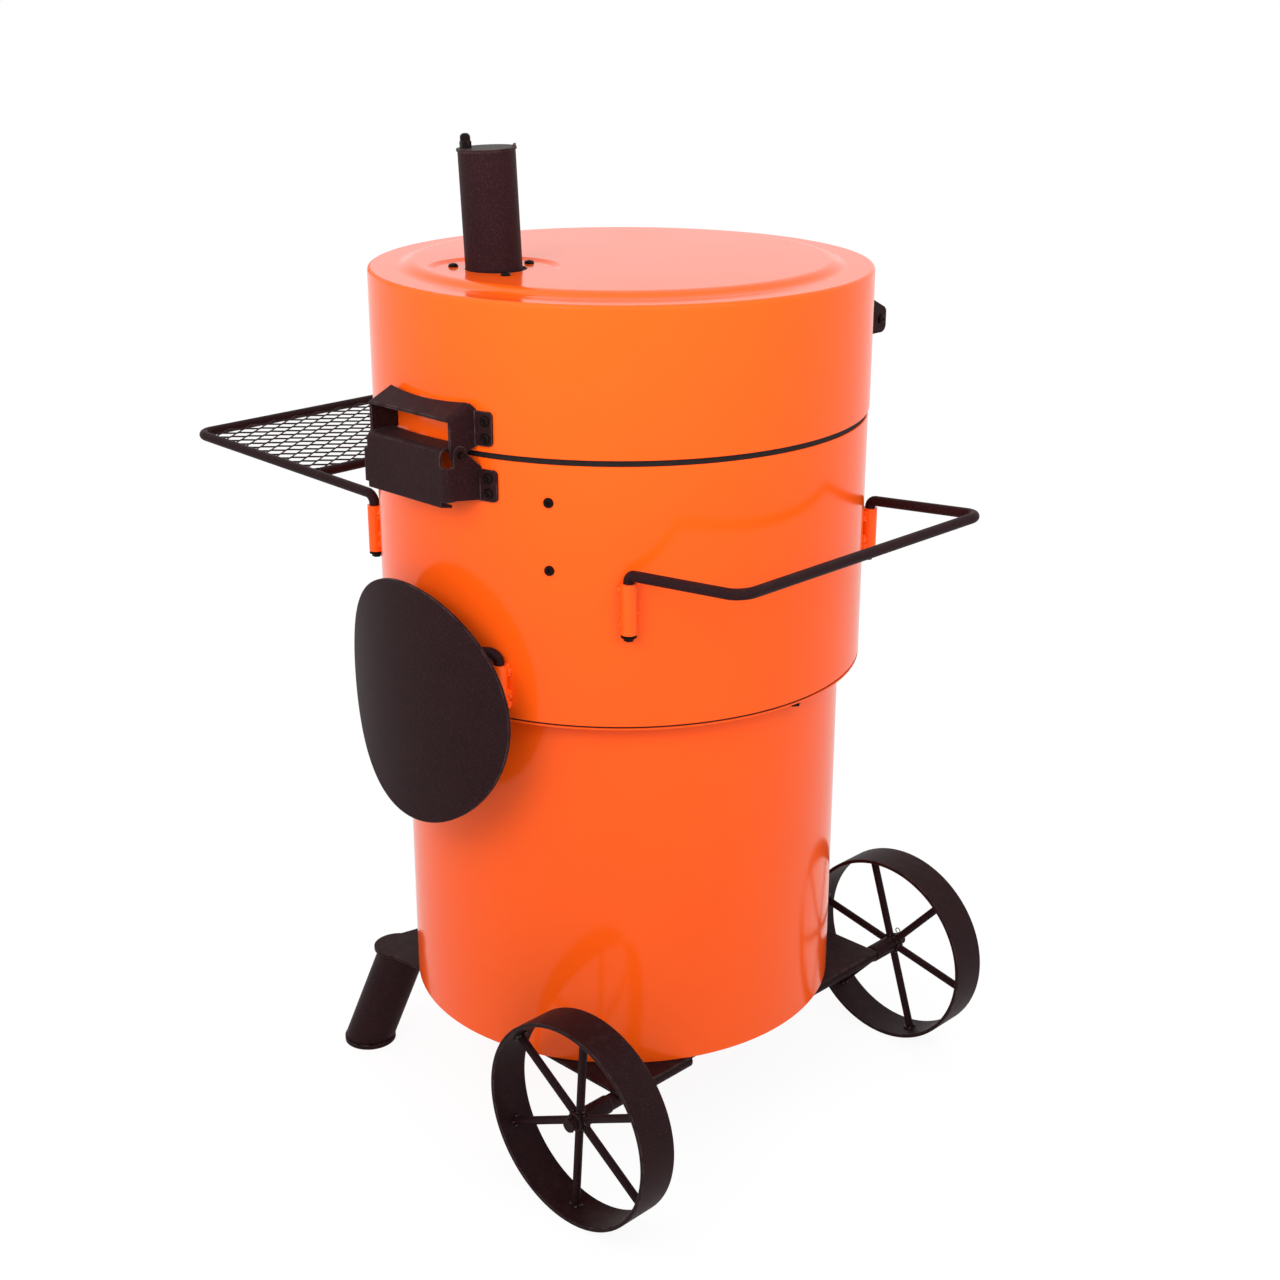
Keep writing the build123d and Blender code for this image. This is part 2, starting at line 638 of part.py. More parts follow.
def on_shelf(x, below):
    """A place on the shelf's sloping plane, at x from the drum axis and so far below the rods' middle."""
    return Pos(SHELF_REACH, 0, BAR_Z) * Rot(0, -SHELF_TILT, 0) * Pos(x - SHELF_REACH, 0, -below)


def shelf_crossbar():
    """Inner bar of the shelf, between the two arms."""
    length = 2 * (SOCKET_Y - ROD_R - SEAT)
    return on_shelf(CROSS_X, 0) * Rot(90, 0, 0) * Cylinder(ROD_R, length)


def diamond(x, y, half_x, half_y, box):
    """A diamond hole, cut to a half or quarter where its centre lies on the sheet's edge."""
    x0, x1, y0, y1 = box
    lean = half_y / half_x
    points = []
    for dx, dy in ((1, 0), (0, 1), (-1, 0), (0, -1)):
        points.append((x + dx * half_x, y + dy * half_y))
    if x < x0:
        points = [(x0, y - half_y + lean * (x0 - x)), (x + half_x, y), (x0, y + half_y - lean * (x0 - x))]
    elif x > x1:
        points = [(x1, y + half_y - lean * (x - x1)), (x - half_x, y), (x1, y - half_y + lean * (x - x1))]
    elif y < y0:
        points = [(x - half_x + (y0 - y) / lean, y0), (x + half_x - (y0 - y) / lean, y0), (x, y + half_y)]
    elif y > y1:
        points = [(x + half_x - (y - y1) / lean, y1), (x - half_x + (y - y1) / lean, y1), (x, y - half_y)]
    return Wire.make_polygon([(px, py, 0) for px, py in points], close=True)


def shelf_mesh():
    """Expanded-metal sheet inside the shelf frame, as a plate with staggered diamond holes."""
    inset = ROD_R + SEAT
    near = CROSS_X + inset
    far = SHELF_REACH - inset
    half_w = SOCKET_Y - inset
    step_x = (far - near) / MESH_ACROSS
    step_y = 2 * half_w / MESH_ALONG
    shrink = 1 - STRAND * math.hypot(step_x, step_y) / (step_x * step_y)
    half_x = step_x / 2 * shrink
    half_y = step_y / 2 * shrink
    box = (near + STRAND, far - STRAND, STRAND - half_w, half_w - STRAND)
    holes = []
    for i in range(2 * MESH_ACROSS + 1):
        for j in range(2 * MESH_ALONG + 1):
            edges = (i in (0, 2 * MESH_ACROSS)) + (j in (0, 2 * MESH_ALONG))
            if (i + j) % 2 == 1 and edges < 2:
                x = near + i * step_x / 2
                y = j * step_y / 2 - half_w
                holes.append(diamond(x, y, half_x, half_y, box))
    outline = Wire.make_polygon([(near, -half_w, 0), (far, -half_w, 0), (far, half_w, 0), (near, half_w, 0)],
                                close=True)
    sheet = extrude(Face(outline, holes), amount=MESH_T, dir=(0, 0, -1))
    return on_shelf(0, -MESH_T / 2) * sheet - u_rod(1, SHELF_REACH, ARM_Z, ARM_BEND, inset)


def shield_plate():
    """Round plate rolled to the drum's curve, standing off the wall."""
    ring = drum_core(SHIELD_R, SHIELD_Z - SHIELD_HALF_H, SHIELD_Z + SHIELD_HALF_H)
    ring -= drum_core(SHIELD_R - SHIELD_T, SHIELD_Z - SHIELD_HALF_H, SHIELD_Z + SHIELD_HALF_H)
    blank = extrude(Plane.XZ * Ellipse(SHIELD_HALF_W, SHIELD_HALF_H), amount=-SHIELD_R)
    return Rot(0, 0, SHIELD_TURN_ANGLE) * (ring & (Pos(0, 0, SHIELD_Z) * blank))


def shield_rod():
    """Rod that turns in its socket and carries the shield plate."""
    turn = math.radians(SHIELD_ANGLE)
    level = SHIELD_SOCKET_TOP + SHIELD_ROD_RISE
    low = SHIELD_SOCKET_TOP - SHIELD_SOCKET_H - ROD_TAIL
    touch = SHIELD_R - SHIELD_T - ROD_R - SEAT
    root = (SOCKET_REACH * math.cos(turn), SOCKET_REACH * math.sin(turn))
    points = [(*root, low), (*root, level)]
    for angle in (WELD_START_ANGLE, WELD_END_ANGLE):
        points.append((touch * math.cos(math.radians(angle)), touch * math.sin(math.radians(angle)), level))
    return bent_rod(points, (SHIELD_BEND, SHIELD_BEND))


def wheel(side, turn):
    """Rim, six spokes and hub of one wheel; side is +1 on the hinge side, turn leans its top spoke to +X."""
    lay = Pos(AXLE_X, side * WHEEL_Y, WHEEL_R) * Rot(-90 * side, 0, 0)
    rim = tube(WHEEL_R, WHEEL_R - RIM_T, WHEEL_W)
    rim = lay * Pos(0, 0, -WHEEL_W / 2) * rim
    hub = Pos(0, 0, -HUB_IN) * tube(HUB_R, AXLE_R + RUN, HUB_IN + HUB_OUT)
    spokes = []
    length = WHEEL_R - RIM_T - HUB_R - 2 * SEAT
    for index in range(SPOKES):
        bar = Rot(0, 90, 0) * Pos(0, 0, HUB_R + SEAT) * Cylinder(SPOKE_R, length, align=UP)
        spokes.append(lay * Rot(0, 0, side * (turn - 90) + index * 360 / SPOKES) * bar)
    trim = lay * Pos(0, 0, -HUB_IN) * Cylinder(HUB_R + SEAT, HUB_IN + HUB_OUT, align=UP)
    reach = lay * Pos(0, 0, -WHEEL_W / 2) * Cylinder(WHEEL_R - RIM_T - SEAT, WHEEL_W, align=UP)
    spokes = [(bar - trim) & reach for bar in spokes]
    return rim, spokes, lay * hub


def stub_axles():
    """A round axle for each wheel, turned down where it passes through the hub."""
    axles = []
    for side in (1, -1):
        lay = Pos(AXLE_X, side * WHEEL_Y, WHEEL_R) * Rot(-90 * side, 0, 0)
        axle = Pos(0, 0, -AXLE_IN) * Cylinder(AXLE_R, AXLE_IN + AXLE_OUT, align=UP)
        stub = Pos(0, 0, -AXLE_IN) * Cylinder(STUB_R, AXLE_IN - HUB_IN - SWING, align=UP)
        axles.append(lay * (axle + stub))
    return axles


def axle_plate():
    """Flat plate between the drum floor and the stub axles."""
    low = WHEEL_R + STUB_R + SEAT
    high = GROUND_GAP - SEAT
    plate = Box(PLATE_DEEP, 2 * PLATE_HALF, high - low, align=(Align.MIN, Align.CENTER, Align.MIN))
    return Pos(AXLE_X - PLATE_LIP, 0, low) * plate


def foot(side):
    """Leaning tube, top plate and pad of one foot."""
    turn = Rot(0, 0, side * FOOT_ANGLE)
    drum = drum_core(LOWER_R + SEAT, GROUND_GAP - SEAT, STEP_Z)
    plate_low = FOOT_TOP - FOOT_PLATE_T
    lean = Pos(FOOT_REACH, 0, 0) * Rot(0, -FOOT_LEAN, 0)
    long = 2 * FOOT_TOP
    pipe = lean * Pos(0, 0, -long / 2) * tube(FOOT_R, FOOT_R - FOOT_WALL, 2 * long)
    band = Pos(0, 0, FOOT_PAD_T) * Cylinder(2 * FOOT_REACH, plate_low - SEAT - FOOT_PAD_T, align=UP)
    pipe = (pipe & band) - drum
    slope = math.tan(math.radians(FOOT_LEAN))
    head = FOOT_REACH - slope * FOOT_TOP
    end = head + FOOT_PLATE_END - FOOT_R
    outline = make_face(Polyline((LOWER_R - FOOT_R, -FOOT_PLATE_ROOT), (end, -FOOT_R), (end, FOOT_R),
                                 (LOWER_R - FOOT_R, FOOT_PLATE_ROOT), close=True))
    outline += Pos(end, 0) * Circle(FOOT_R)
    plate = Pos(0, 0, plate_low) * extrude(outline, amount=FOOT_PLATE_T)
    plate -= drum_core(LOWER_R + SEAT, 0, STEP_Z)
    pad = Cylinder(FOOT_R + FOOT_PAD_LIP, FOOT_PAD_T - SEAT, align=UP)
    pad = Pos(FOOT_REACH - slope * FOOT_PAD_T, 0, 0) * pad
    return turn * pipe, turn * plate, turn * pad


def grate_bracket(index):
    """Strip on the inside of the wall with two ledges for the grates."""
    wall = UPPER_R - SHEET - 2 * SEAT
    ledge = wall - GRATE_R + LEDGE_BITE
    low = LEDGES[0] - STRIP_END
    strip = Pos(wall, 0, low) * Box(BRACKET_T, STRIP_W, UPPER_TOP - RIM_FLANGE - low,
                                    align=(Align.MAX, Align.CENTER, Align.MIN))
    for level in LEDGES:
        strip += Pos(wall, 0, level) * Box(ledge, STRIP_W, BRACKET_T,
                                           align=(Align.MAX, Align.CENTER, Align.MAX))
    return Rot(0, 0, BRACKET_ANGLE + index * 360 / BRACKETS) * strip


def grate(radius, low):
    """Round grate of flat bars in a ring."""
    ring = tube(radius, radius - GRATE_RING, GRATE_H)
    inner = radius - GRATE_RING / 2
    count = int((inner - GRATE_BAR) // GRATE_PITCH)
    for index in range(-count, count + 1):
        x = index * GRATE_PITCH
        reach = 2 * math.sqrt(inner ** 2 - (abs(x) + GRATE_BAR / 2) ** 2)
        ring += Pos(x, 0, 0) * Box(GRATE_BAR, reach, GRATE_H, align=UP)
    return Pos(0, 0, low) * ring


def basket_hoops():
    """Two flat hoops of the charcoal basket."""
    levels = (BASKET_LEG, BASKET_LEG + BASKET_H - HOOP_H)
    return [Pos(0, 0, BASKET_BASE + low) * tube(BASKET_R, BASKET_R - HOOP_T, HOOP_H) for low in levels]


def basket_bars():
    """Upright bars inside the hoops, four of them long enough to stand on."""
    bars = []
    for index in range(BASKET_BARS):
        long = index % (BASKET_BARS // 4) == 0
        low = 0 if long else BASKET_LEG
        bar = Box(HOOP_T, BASKET_BAR, BASKET_LEG + BASKET_H - low, align=(Align.MAX, Align.CENTER, Align.MIN))
        reach = math.sqrt((BASKET_R - HOOP_T) ** 2 - (BASKET_BAR / 2) ** 2)
        bars.append(Rot(0, 0, index * 360 / BASKET_BARS) * Pos(reach, 0, BASKET_BASE + low) * bar)
    return bars


save("lower_drum", lower_drum())
save("drum_floor", drum_floor())
save("lower_lip", lower_lip())
save("step_gasket", step_gasket())
save("step_flange", step_ring(STEP_Z, UPPER_R - SHEET))
save("upper_drum", upper_drum())
save("lid_gasket", lid_gasket())
save("flange_bolts", *flange_bolts())
save("hinge_lower_bracket", hinge_lower_bracket())
save("hinge_pins", *hinge_pins())
save("shelf_sockets", *[socket(side * SOCKET_ANGLE, SOCKET_TOP, SOCKET_H) for side in (1, -1)])
save("bar_sockets", *[socket(180 + side * SOCKET_ANGLE, SOCKET_TOP, SOCKET_H) for side in (1, -1)])
save("shield_socket", socket(SHIELD_ANGLE, SHIELD_SOCKET_TOP, SHIELD_SOCKET_H))
save("shelf_frame", u_rod(1, SHELF_REACH, ARM_Z, ARM_BEND))
save("shelf_crossbar", shelf_crossbar())
save("shelf_mesh", shelf_mesh())
save("push_bar", u_rod(-1, BAR_REACH, PUSH_Z, PUSH_BEND))
save("grate_brackets", *[grate_bracket(index) for index in range(BRACKETS)])
save("lower_grate", grate(GRATE_R, LEDGES[0] + SEAT))
save("upper_grate", grate(GRATE_R, LEDGES[1] + SEAT))
save("basket_hoops", *basket_hoops())
save("basket_bars", *basket_bars())
save("basket_grate", grate(BASKET_R - 2 * HOOP_T - SEAT, BASKET_BASE + BASKET_LEG))
save("axle_plate", axle_plate())
save("stub_axles", *stub_axles())

tubes, plates, pads = zip(*[foot(side) for side in (1, -1)])
save("foot_tubes", *tubes)
save("foot_plates", *plates)
save("foot_pads", *pads)

save("lid_band", lid_band())
save("lid_top", lid_top())
save("hinge_upper_bracket", hinge_upper_bracket())
save("handle_brackets", *handle_brackets())
save("handle_grip", handle_grip())
save("chimney_pipe", chimney_pipe())
save("chimney_flange", chimney_flange())
save("cap_pivot", cap_pivot())
save("chimney_cap", chimney_cap())
save("shield_plate", shield_plate())
save("shield_rod", shield_rod())

for name, side, turn in (("back", 1, BACK_SPOKE_TURN), ("front", -1, FRONT_SPOKE_TURN)):
    rim, spokes, hub = wheel(side, turn)
    save(f"{name}_wheel_rim", rim)
    save(f"{name}_wheel_spokes", *spokes)
    save(f"{name}_wheel_hub", hub)
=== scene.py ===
import math
import random

import bmesh
import bpy
from bpy.props import FloatProperty, FloatVectorProperty, IntProperty, PointerProperty
from mathutils import Euler, Matrix, Vector, noise


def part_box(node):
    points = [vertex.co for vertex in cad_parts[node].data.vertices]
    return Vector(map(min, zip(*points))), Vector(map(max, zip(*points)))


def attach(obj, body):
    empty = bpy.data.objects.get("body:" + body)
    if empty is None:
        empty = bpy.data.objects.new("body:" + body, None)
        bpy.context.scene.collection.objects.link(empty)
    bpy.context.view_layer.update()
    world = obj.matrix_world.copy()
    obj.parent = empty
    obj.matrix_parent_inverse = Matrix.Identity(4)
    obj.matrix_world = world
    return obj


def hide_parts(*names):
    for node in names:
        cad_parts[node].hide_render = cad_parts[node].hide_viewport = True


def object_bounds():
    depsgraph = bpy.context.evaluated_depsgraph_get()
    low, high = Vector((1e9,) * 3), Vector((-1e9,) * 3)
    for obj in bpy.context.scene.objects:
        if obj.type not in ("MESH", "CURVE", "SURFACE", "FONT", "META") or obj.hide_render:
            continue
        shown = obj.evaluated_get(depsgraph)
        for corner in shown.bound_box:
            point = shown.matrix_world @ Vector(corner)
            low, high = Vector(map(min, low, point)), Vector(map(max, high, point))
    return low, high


bl_info = {
    "name": "Drum smoker dressing",
    "version": (1, 0, 0),
    "blender": (4, 5, 0),
    "location": "3D View > Sidebar > Smoker",
    "description": "Paint, welds, fasteners, shelf mesh and studio for a drum smoker",
    "category": "Object",
}

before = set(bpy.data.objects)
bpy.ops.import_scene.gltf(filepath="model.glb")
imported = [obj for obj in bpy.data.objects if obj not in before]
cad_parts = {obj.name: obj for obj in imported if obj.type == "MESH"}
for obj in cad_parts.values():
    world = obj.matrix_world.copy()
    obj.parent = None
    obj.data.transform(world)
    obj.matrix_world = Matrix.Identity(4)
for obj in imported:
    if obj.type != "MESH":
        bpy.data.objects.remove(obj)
CAD_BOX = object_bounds()

ORANGE_NODES = ("lower_drum", "lower_lip", "drum_floor", "step_flange", "upper_drum", "lid_band", "lid_top",
                "shelf_sockets", "bar_sockets", "shield_socket")
STEEL_NODES = ("lower_grate", "upper_grate", "basket_hoops", "basket_bars", "basket_grate", "grate_brackets")
SEAL_NODES = ("step_gasket", "lid_gasket")
FASTENER_NODES = ("flange_bolts", "hinge_pins", "cap_pivot")
SMOOTH_ANGLE = math.radians(38)


def centre(node):
    """Middle of a CAD node's box."""
    low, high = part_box(node)
    return (low + high) / 2


def half_width(node):
    """Half of a CAD node's width along X."""
    low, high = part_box(node)
    return (high.x - low.x) / 2


AXIS = centre("upper_drum")
UPPER_R = half_width("upper_drum")
LID_R = half_width("lid_band")
UPPER_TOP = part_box("upper_drum")[1].z


def on_wall(radius, angle, height):
    """A point on a drum wall, with its outward direction; angle in degrees from +X."""
    turn = math.radians(angle)
    out = Vector((math.cos(turn), math.sin(turn), 0))
    return Vector((AXIS.x, AXIS.y, height)) + out * radius, out


class SmokerFinish(bpy.types.PropertyGroup):
    """Colours and gloss of the finishes."""
    orange: FloatVectorProperty(name="Enamel", description="Orange enamel on drum and lid", subtype="COLOR",
                                size=3, min=0, max=1, default=(1.0, 0.106, 0.006))
    orange_deep: FloatVectorProperty(name="Enamel, thick", description="Enamel where the coat lies thick",
                                     subtype="COLOR", size=3, min=0, max=1, default=(0.97, 0.094, 0.005))
    orange_gloss: FloatProperty(name="Enamel roughness", description="Lower is glossier", min=0, max=1,
                                default=0.13)
    black: FloatVectorProperty(name="Powder coat", description="Black coat on frames, wheels and hinge",
                               subtype="COLOR", size=3, min=0, max=1, default=(0.0150, 0.0054, 0.0064))
    black_worn: FloatVectorProperty(name="Powder coat, rubbed", description="The coat rubbed thin on edges",
                                    subtype="COLOR", size=3, min=0, max=1, default=(0.14, 0.095, 0.085))
    black_gloss: FloatProperty(name="Powder coat roughness", description="Lower is glossier", min=0, max=1,
                               default=0.5)
    oxide: FloatVectorProperty(name="Fasteners", description="Black oxide on bolts, pins and washers",
                               subtype="COLOR", size=3, min=0, max=1, default=(0.0042, 0.0018, 0.0016))
    steel: FloatVectorProperty(name="Grate steel", description="Steel of grates and basket", subtype="COLOR",
                               size=3, min=0, max=1, default=(0.42, 0.41, 0.40))
    # Black rope colour, set darker than the rope itself to paint the shade of the gap at the step; both
    # gaskets use it.
    seal: FloatVectorProperty(name="Seal", description="Rope seal under the lid", subtype="COLOR", size=3,
                              min=0, max=1, default=(0.005, 0.0045, 0.0045))


class SmokerHardware(bpy.types.PropertyGroup):
    """Sizes of fasteners, welds and the shelf's strands."""
    head: FloatProperty(name="Button head", description="Diameter of the button heads", unit="LENGTH",
                        default=0.0112)
    head_rise: FloatProperty(name="Head rise", description="Height of the button heads", unit="LENGTH",
                             default=0.0036)
    washer: FloatProperty(name="Washer", description="Diameter of the washers under the sockets",
                          unit="LENGTH", default=0.0172)
    drop: FloatProperty(name="Weld drop", description="Radius of the drops that make a weld", unit="LENGTH",
                        default=0.0034)
    pin_wire: FloatProperty(name="Ring pin", description="Wire of the far axle's ring pin", unit="LENGTH",
                            default=0.0014)
    mesh_across: IntProperty(name="Diamonds across", description="Diamonds across the shelf", default=11)
    mesh_along: IntProperty(name="Diamonds along", description="Diamonds along the shelf", default=11)
    strand: FloatProperty(name="Strand", description="Width of the mesh strands", unit="LENGTH",
                          default=0.0024)
    sheet: FloatProperty(name="Mesh sheet", description="Thickness of the expanded sheet", unit="LENGTH",
                         default=0.0013)
    strand_rise: FloatProperty(name="Strand tilt", description="How far a joint of the mesh tips",
                               unit="LENGTH", default=0.0014)


class SmokerStage(bpy.types.PropertyGroup):
    """Camera, lights and floor."""
    eye: FloatVectorProperty(name="Camera", description="Where the camera stands", subtype="TRANSLATION",
                             size=3, default=(-1.65905, 1.56820, 1.35750))
    aim: FloatVectorProperty(name="Camera turn", description="How the camera is turned", subtype="EULER",
                             size=3, default=tuple(math.radians(a) for a in (70.1367, -0.0926, -135.5333)))
    lens: FloatProperty(name="Lens", description="Focal length in millimetres", default=54.12)
    sky: FloatProperty(name="Sky", description="Strength of the studio's even light", default=0.86)
    key: FloatProperty(name="Key light", description="Power of the large lamp on the hinge side",
                       unit="POWER", default=8.0)
    fill: FloatProperty(name="Fill light", description="Power of the large lamp on the wheel side",
                        unit="POWER", default=5.2)
    floor: FloatVectorProperty(name="Floor", description="Colour of the floor", subtype="COLOR", size=3,
                               min=0, max=1, default=(0.92, 0.92, 0.92))
    floor_glow: FloatProperty(name="Floor glow", description="How much of the floor's white hides the shadow",
                              min=0, max=1, default=0.92)
    floor_mirrored: FloatProperty(name="Floor in reflections", min=0, max=1, default=0.25,
                                  description="Share of that white in reflections")


def make_group(name, inputs, outputs):
    """An empty shader group with named sockets; returns the tree, its inputs and its outputs."""
    tree = bpy.data.node_groups.new(name, "ShaderNodeTree")
    for label, value in inputs:
        socket = tree.interface.new_socket(label, in_out="INPUT", socket_type="NodeSocketFloat")
        socket.default_value = value
    for label, kind in outputs:
        tree.interface.new_socket(label, in_out="OUTPUT", socket_type=kind)
    return tree, tree.nodes.new("NodeGroupInput"), tree.nodes.new("NodeGroupOutput")


def noise_of_size(tree, coordinate, size, detail):
    """A noise whose lumps are as large as the size socket says, in metres."""
    per = tree.nodes.new("ShaderNodeMath")
    per.operation = "DIVIDE"
    per.inputs[0].default_value = 1
    tree.links.new(size, per.inputs[1])
    lumps = tree.nodes.new("ShaderNodeTexNoise")
    lumps.inputs["Detail"].default_value = detail
    tree.links.new(coordinate, lumps.inputs["Vector"])
    tree.links.new(per.outputs[0], lumps.inputs["Scale"])
    return lumps.outputs["Fac"]


def remap(tree, value, low, high, to_low=0.0, to_high=1.0):
    """A clamped map of a value from one range to another."""
    node = tree.nodes.new("ShaderNodeMapRange")
    for socket, number in zip(node.inputs[1:5], (low, high, to_low, to_high)):
        socket.default_value = number
    tree.links.new(value, node.inputs[0])
    return node.outputs[0]


def times(tree, first, second):
    """The product of two value sockets."""
    node = tree.nodes.new("ShaderNodeMath")
    node.operation = "MULTIPLY"
    tree.links.new(first, node.inputs[0])
    tree.links.new(second, node.inputs[1])
    return node.outputs[0]


def coat_group():
    """Uneven lay of a sprayed coat: broad patches and a fine grain."""
    tree, entry, leave = make_group("Coat lay", [("Patch Size", 0.12), ("Grain Size", 0.001)],
                                    [("Patch", "NodeSocketFloat"), ("Grain", "NodeSocketFloat")])
    place = tree.nodes.new("ShaderNodeTexCoord").outputs["Object"]
    patch = noise_of_size(tree, place, entry.outputs["Patch Size"], 3)
    tree.links.new(remap(tree, patch, 0.3, 0.7), leave.inputs["Patch"])
    grain = noise_of_size(tree, place, entry.outputs["Grain Size"], 2)
    tree.links.new(grain, leave.inputs["Grain"])
    return tree


def edge_group():
    """Rubbed edges: a mask along sharp edges, broken up, with the edge's rounded normal."""
    tree, entry, leave = make_group("Rubbed edge", [("Width", 0.0012), ("Breakup Size", 0.006)],
                                    [("Edge", "NodeSocketFloat"), ("Normal", "NodeSocketVector")])
    rounding = tree.nodes.new("ShaderNodeBevel")
    rounding.samples = 4
    tree.links.new(entry.outputs["Width"], rounding.inputs["Radius"])
    surface = tree.nodes.new("ShaderNodeNewGeometry")
    turn = tree.nodes.new("ShaderNodeVectorMath")
    turn.operation = "DOT_PRODUCT"
    tree.links.new(rounding.outputs["Normal"], turn.inputs[0])
    tree.links.new(surface.outputs["Normal"], turn.inputs[1])
    edge = remap(tree, turn.outputs["Value"], 0.985, 0.85)
    place = tree.nodes.new("ShaderNodeTexCoord").outputs["Object"]
    broken = noise_of_size(tree, place, entry.outputs["Breakup Size"], 3)
    tree.links.new(times(tree, edge, remap(tree, broken, 0.36, 0.6)), leave.inputs["Edge"])
    tree.links.new(rounding.outputs["Normal"], leave.inputs["Normal"])
    return tree


def dust_group():
    """Fine dust that settles on what faces up."""
    tree, entry, leave = make_group("Settled dust", [("Clump Size", 0.02)], [("Dust", "NodeSocketFloat")])
    surface = tree.nodes.new("ShaderNodeNewGeometry")
    parts = tree.nodes.new("ShaderNodeSeparateXYZ")
    tree.links.new(surface.outputs["Normal"], parts.inputs[0])
    upward = remap(tree, parts.outputs["Z"], 0.6, 1.0)
    place = tree.nodes.new("ShaderNodeTexCoord").outputs["Object"]
    clump = noise_of_size(tree, place, entry.outputs["Clump Size"], 5)
    tree.links.new(times(tree, upward, remap(tree, clump, 0.45, 0.8)), leave.inputs["Dust"])
    return tree


GROUP_MAKERS = {"Coat lay": coat_group, "Rubbed edge": edge_group, "Settled dust": dust_group}


def use_group(tree, name, **values):
    """Places a shared effect in a material, with its own values."""
    shared = bpy.data.node_groups.get(name) or GROUP_MAKERS[name]()
    node = tree.nodes.new("ShaderNodeGroup")
    node.node_tree = shared
    for label, number in values.items():
        node.inputs[label.replace("_", " ").title()].default_value = number
    return node.outputs


def blend_colours(tree, mask, first, second, share=1.0):
    """A colour that goes from first to second with a mask; first may be a socket or a colour."""
    node = tree.nodes.new("ShaderNodeMix")
    node.data_type = "RGBA"
    strength = remap(tree, mask, 0, 1, 0, share)
    tree.links.new(strength, node.inputs["Factor"])
    if isinstance(first, bpy.types.NodeSocket):
        tree.links.new(first, node.inputs["A"])
    else:
        node.inputs["A"].default_value = (*first, 1)
    node.inputs["B"].default_value = (*second, 1)
    return node.outputs["Result"]


def bump(tree, height, strength, distance, normal=None):
    """A bump normal from a height."""
    node = tree.nodes.new("ShaderNodeBump")
    node.inputs["Strength"].default_value = strength
    node.inputs["Distance"].default_value = distance
    tree.links.new(height, node.inputs["Height"])
    if normal is not None:
        tree.links.new(normal, node.inputs["Normal"])
    return node.outputs["Normal"]


def new_material(name, constants):
    """A node material with its constant sockets set; returns it, its tree and its Principled shader."""
    material = bpy.data.materials.new(name)
    material.use_nodes = True
    shader = material.node_tree.nodes["Principled BSDF"]
    for label, value in constants.items():
        shader.inputs[label].default_value = value
    return material, material.node_tree, shader


def plug(tree, shader, values):
    """Links values that vary over the surface to the shader's sockets."""
    for label, value in values.items():
        tree.links.new(value, shader.inputs[label])


def scaled(colour, by):
    """A colour made lighter or darker."""
    return [part * by for part in colour]


def gloss_enamel(finish):
    """Glossy orange enamel with a faint orange peel."""
    material, tree, shader = new_material("gloss_enamel", {"Specular IOR Level": 0.24})
    lay = use_group(tree, "Coat lay", patch_size=0.16, grain_size=0.005)
    gloss = finish.orange_gloss
    plug(tree, shader, {
        "Base Color": blend_colours(tree, lay["Patch"], finish.orange, finish.orange_deep, share=0.5),
        "Roughness": remap(tree, lay["Patch"], 0, 1, gloss, gloss + 0.05),
        "Normal": bump(tree, lay["Grain"], strength=0.05, distance=0.0004)})
    return material


def powder_coat(finish):
    """Satin brown-black powder coat, speckled, and rubbed on its edges."""
    material, tree, shader = new_material("powder_coat", {"Specular IOR Level": 0.07, "Sheen Weight": 0.02,
                                                          "Sheen Roughness": 0.3})
    lay = use_group(tree, "Coat lay", patch_size=0.05, grain_size=0.0017)
    rub = use_group(tree, "Rubbed edge", width=0.0019, breakup_size=0.012)
    dust = use_group(tree, "Settled dust", clump_size=0.012)
    colour = blend_colours(tree, lay["Patch"], finish.black, scaled(finish.black, 1.25), share=0.8)
    speck = remap(tree, lay["Grain"], 0.5, 0.68)
    colour = blend_colours(tree, speck, colour, scaled(finish.black, 2.4), share=0.8)
    colour = blend_colours(tree, dust["Dust"], colour, finish.black_worn, share=0.08)
    gloss = finish.black_gloss
    plug(tree, shader, {
        "Base Color": blend_colours(tree, rub["Edge"], colour, finish.black_worn, share=0.8),
        "Roughness": remap(tree, lay["Grain"], 0.3, 0.7, gloss - 0.07, gloss + 0.07),
        "Normal": bump(tree, lay["Grain"], strength=0.3, distance=0.0004, normal=rub["Normal"])})
    return material


def coated_weld(finish):
    """Powder coat over a weld bead, smoother and glossier than on sheet."""
    material, tree, shader = new_material("coated_weld", {"Specular IOR Level": 0.4})
    lay = use_group(tree, "Coat lay", patch_size=0.006, grain_size=0.0016)
    plug(tree, shader, {
        "Base Color": blend_colours(tree, lay["Patch"], finish.black, scaled(finish.black, 1.5), share=0.8),
        "Roughness": remap(tree, lay["Patch"], 0, 1, 0.16, 0.3),
        "Normal": bump(tree, lay["Grain"], strength=0.2, distance=0.0004)})
    return material


def oiled_oxide(finish):
    """Oiled black oxide of bolts, pins and washers."""
    material, tree, shader = new_material("oiled_oxide", {"Specular IOR Level": 0.1})
    lay = use_group(tree, "Coat lay", patch_size=0.004, grain_size=0.0007)
    rub = use_group(tree, "Rubbed edge", width=0.0005, breakup_size=0.003)
    colour = blend_colours(tree, lay["Patch"], finish.oxide, scaled(finish.oxide, 1.8))
    plug(tree, shader, {
        "Base Color": blend_colours(tree, rub["Edge"], colour, finish.black_worn, share=0.6),
        "Roughness": remap(tree, lay["Patch"], 0, 1, 0.28, 0.4),
        "Normal": bump(tree, lay["Grain"], strength=0.1, distance=0.0002)})
    return material


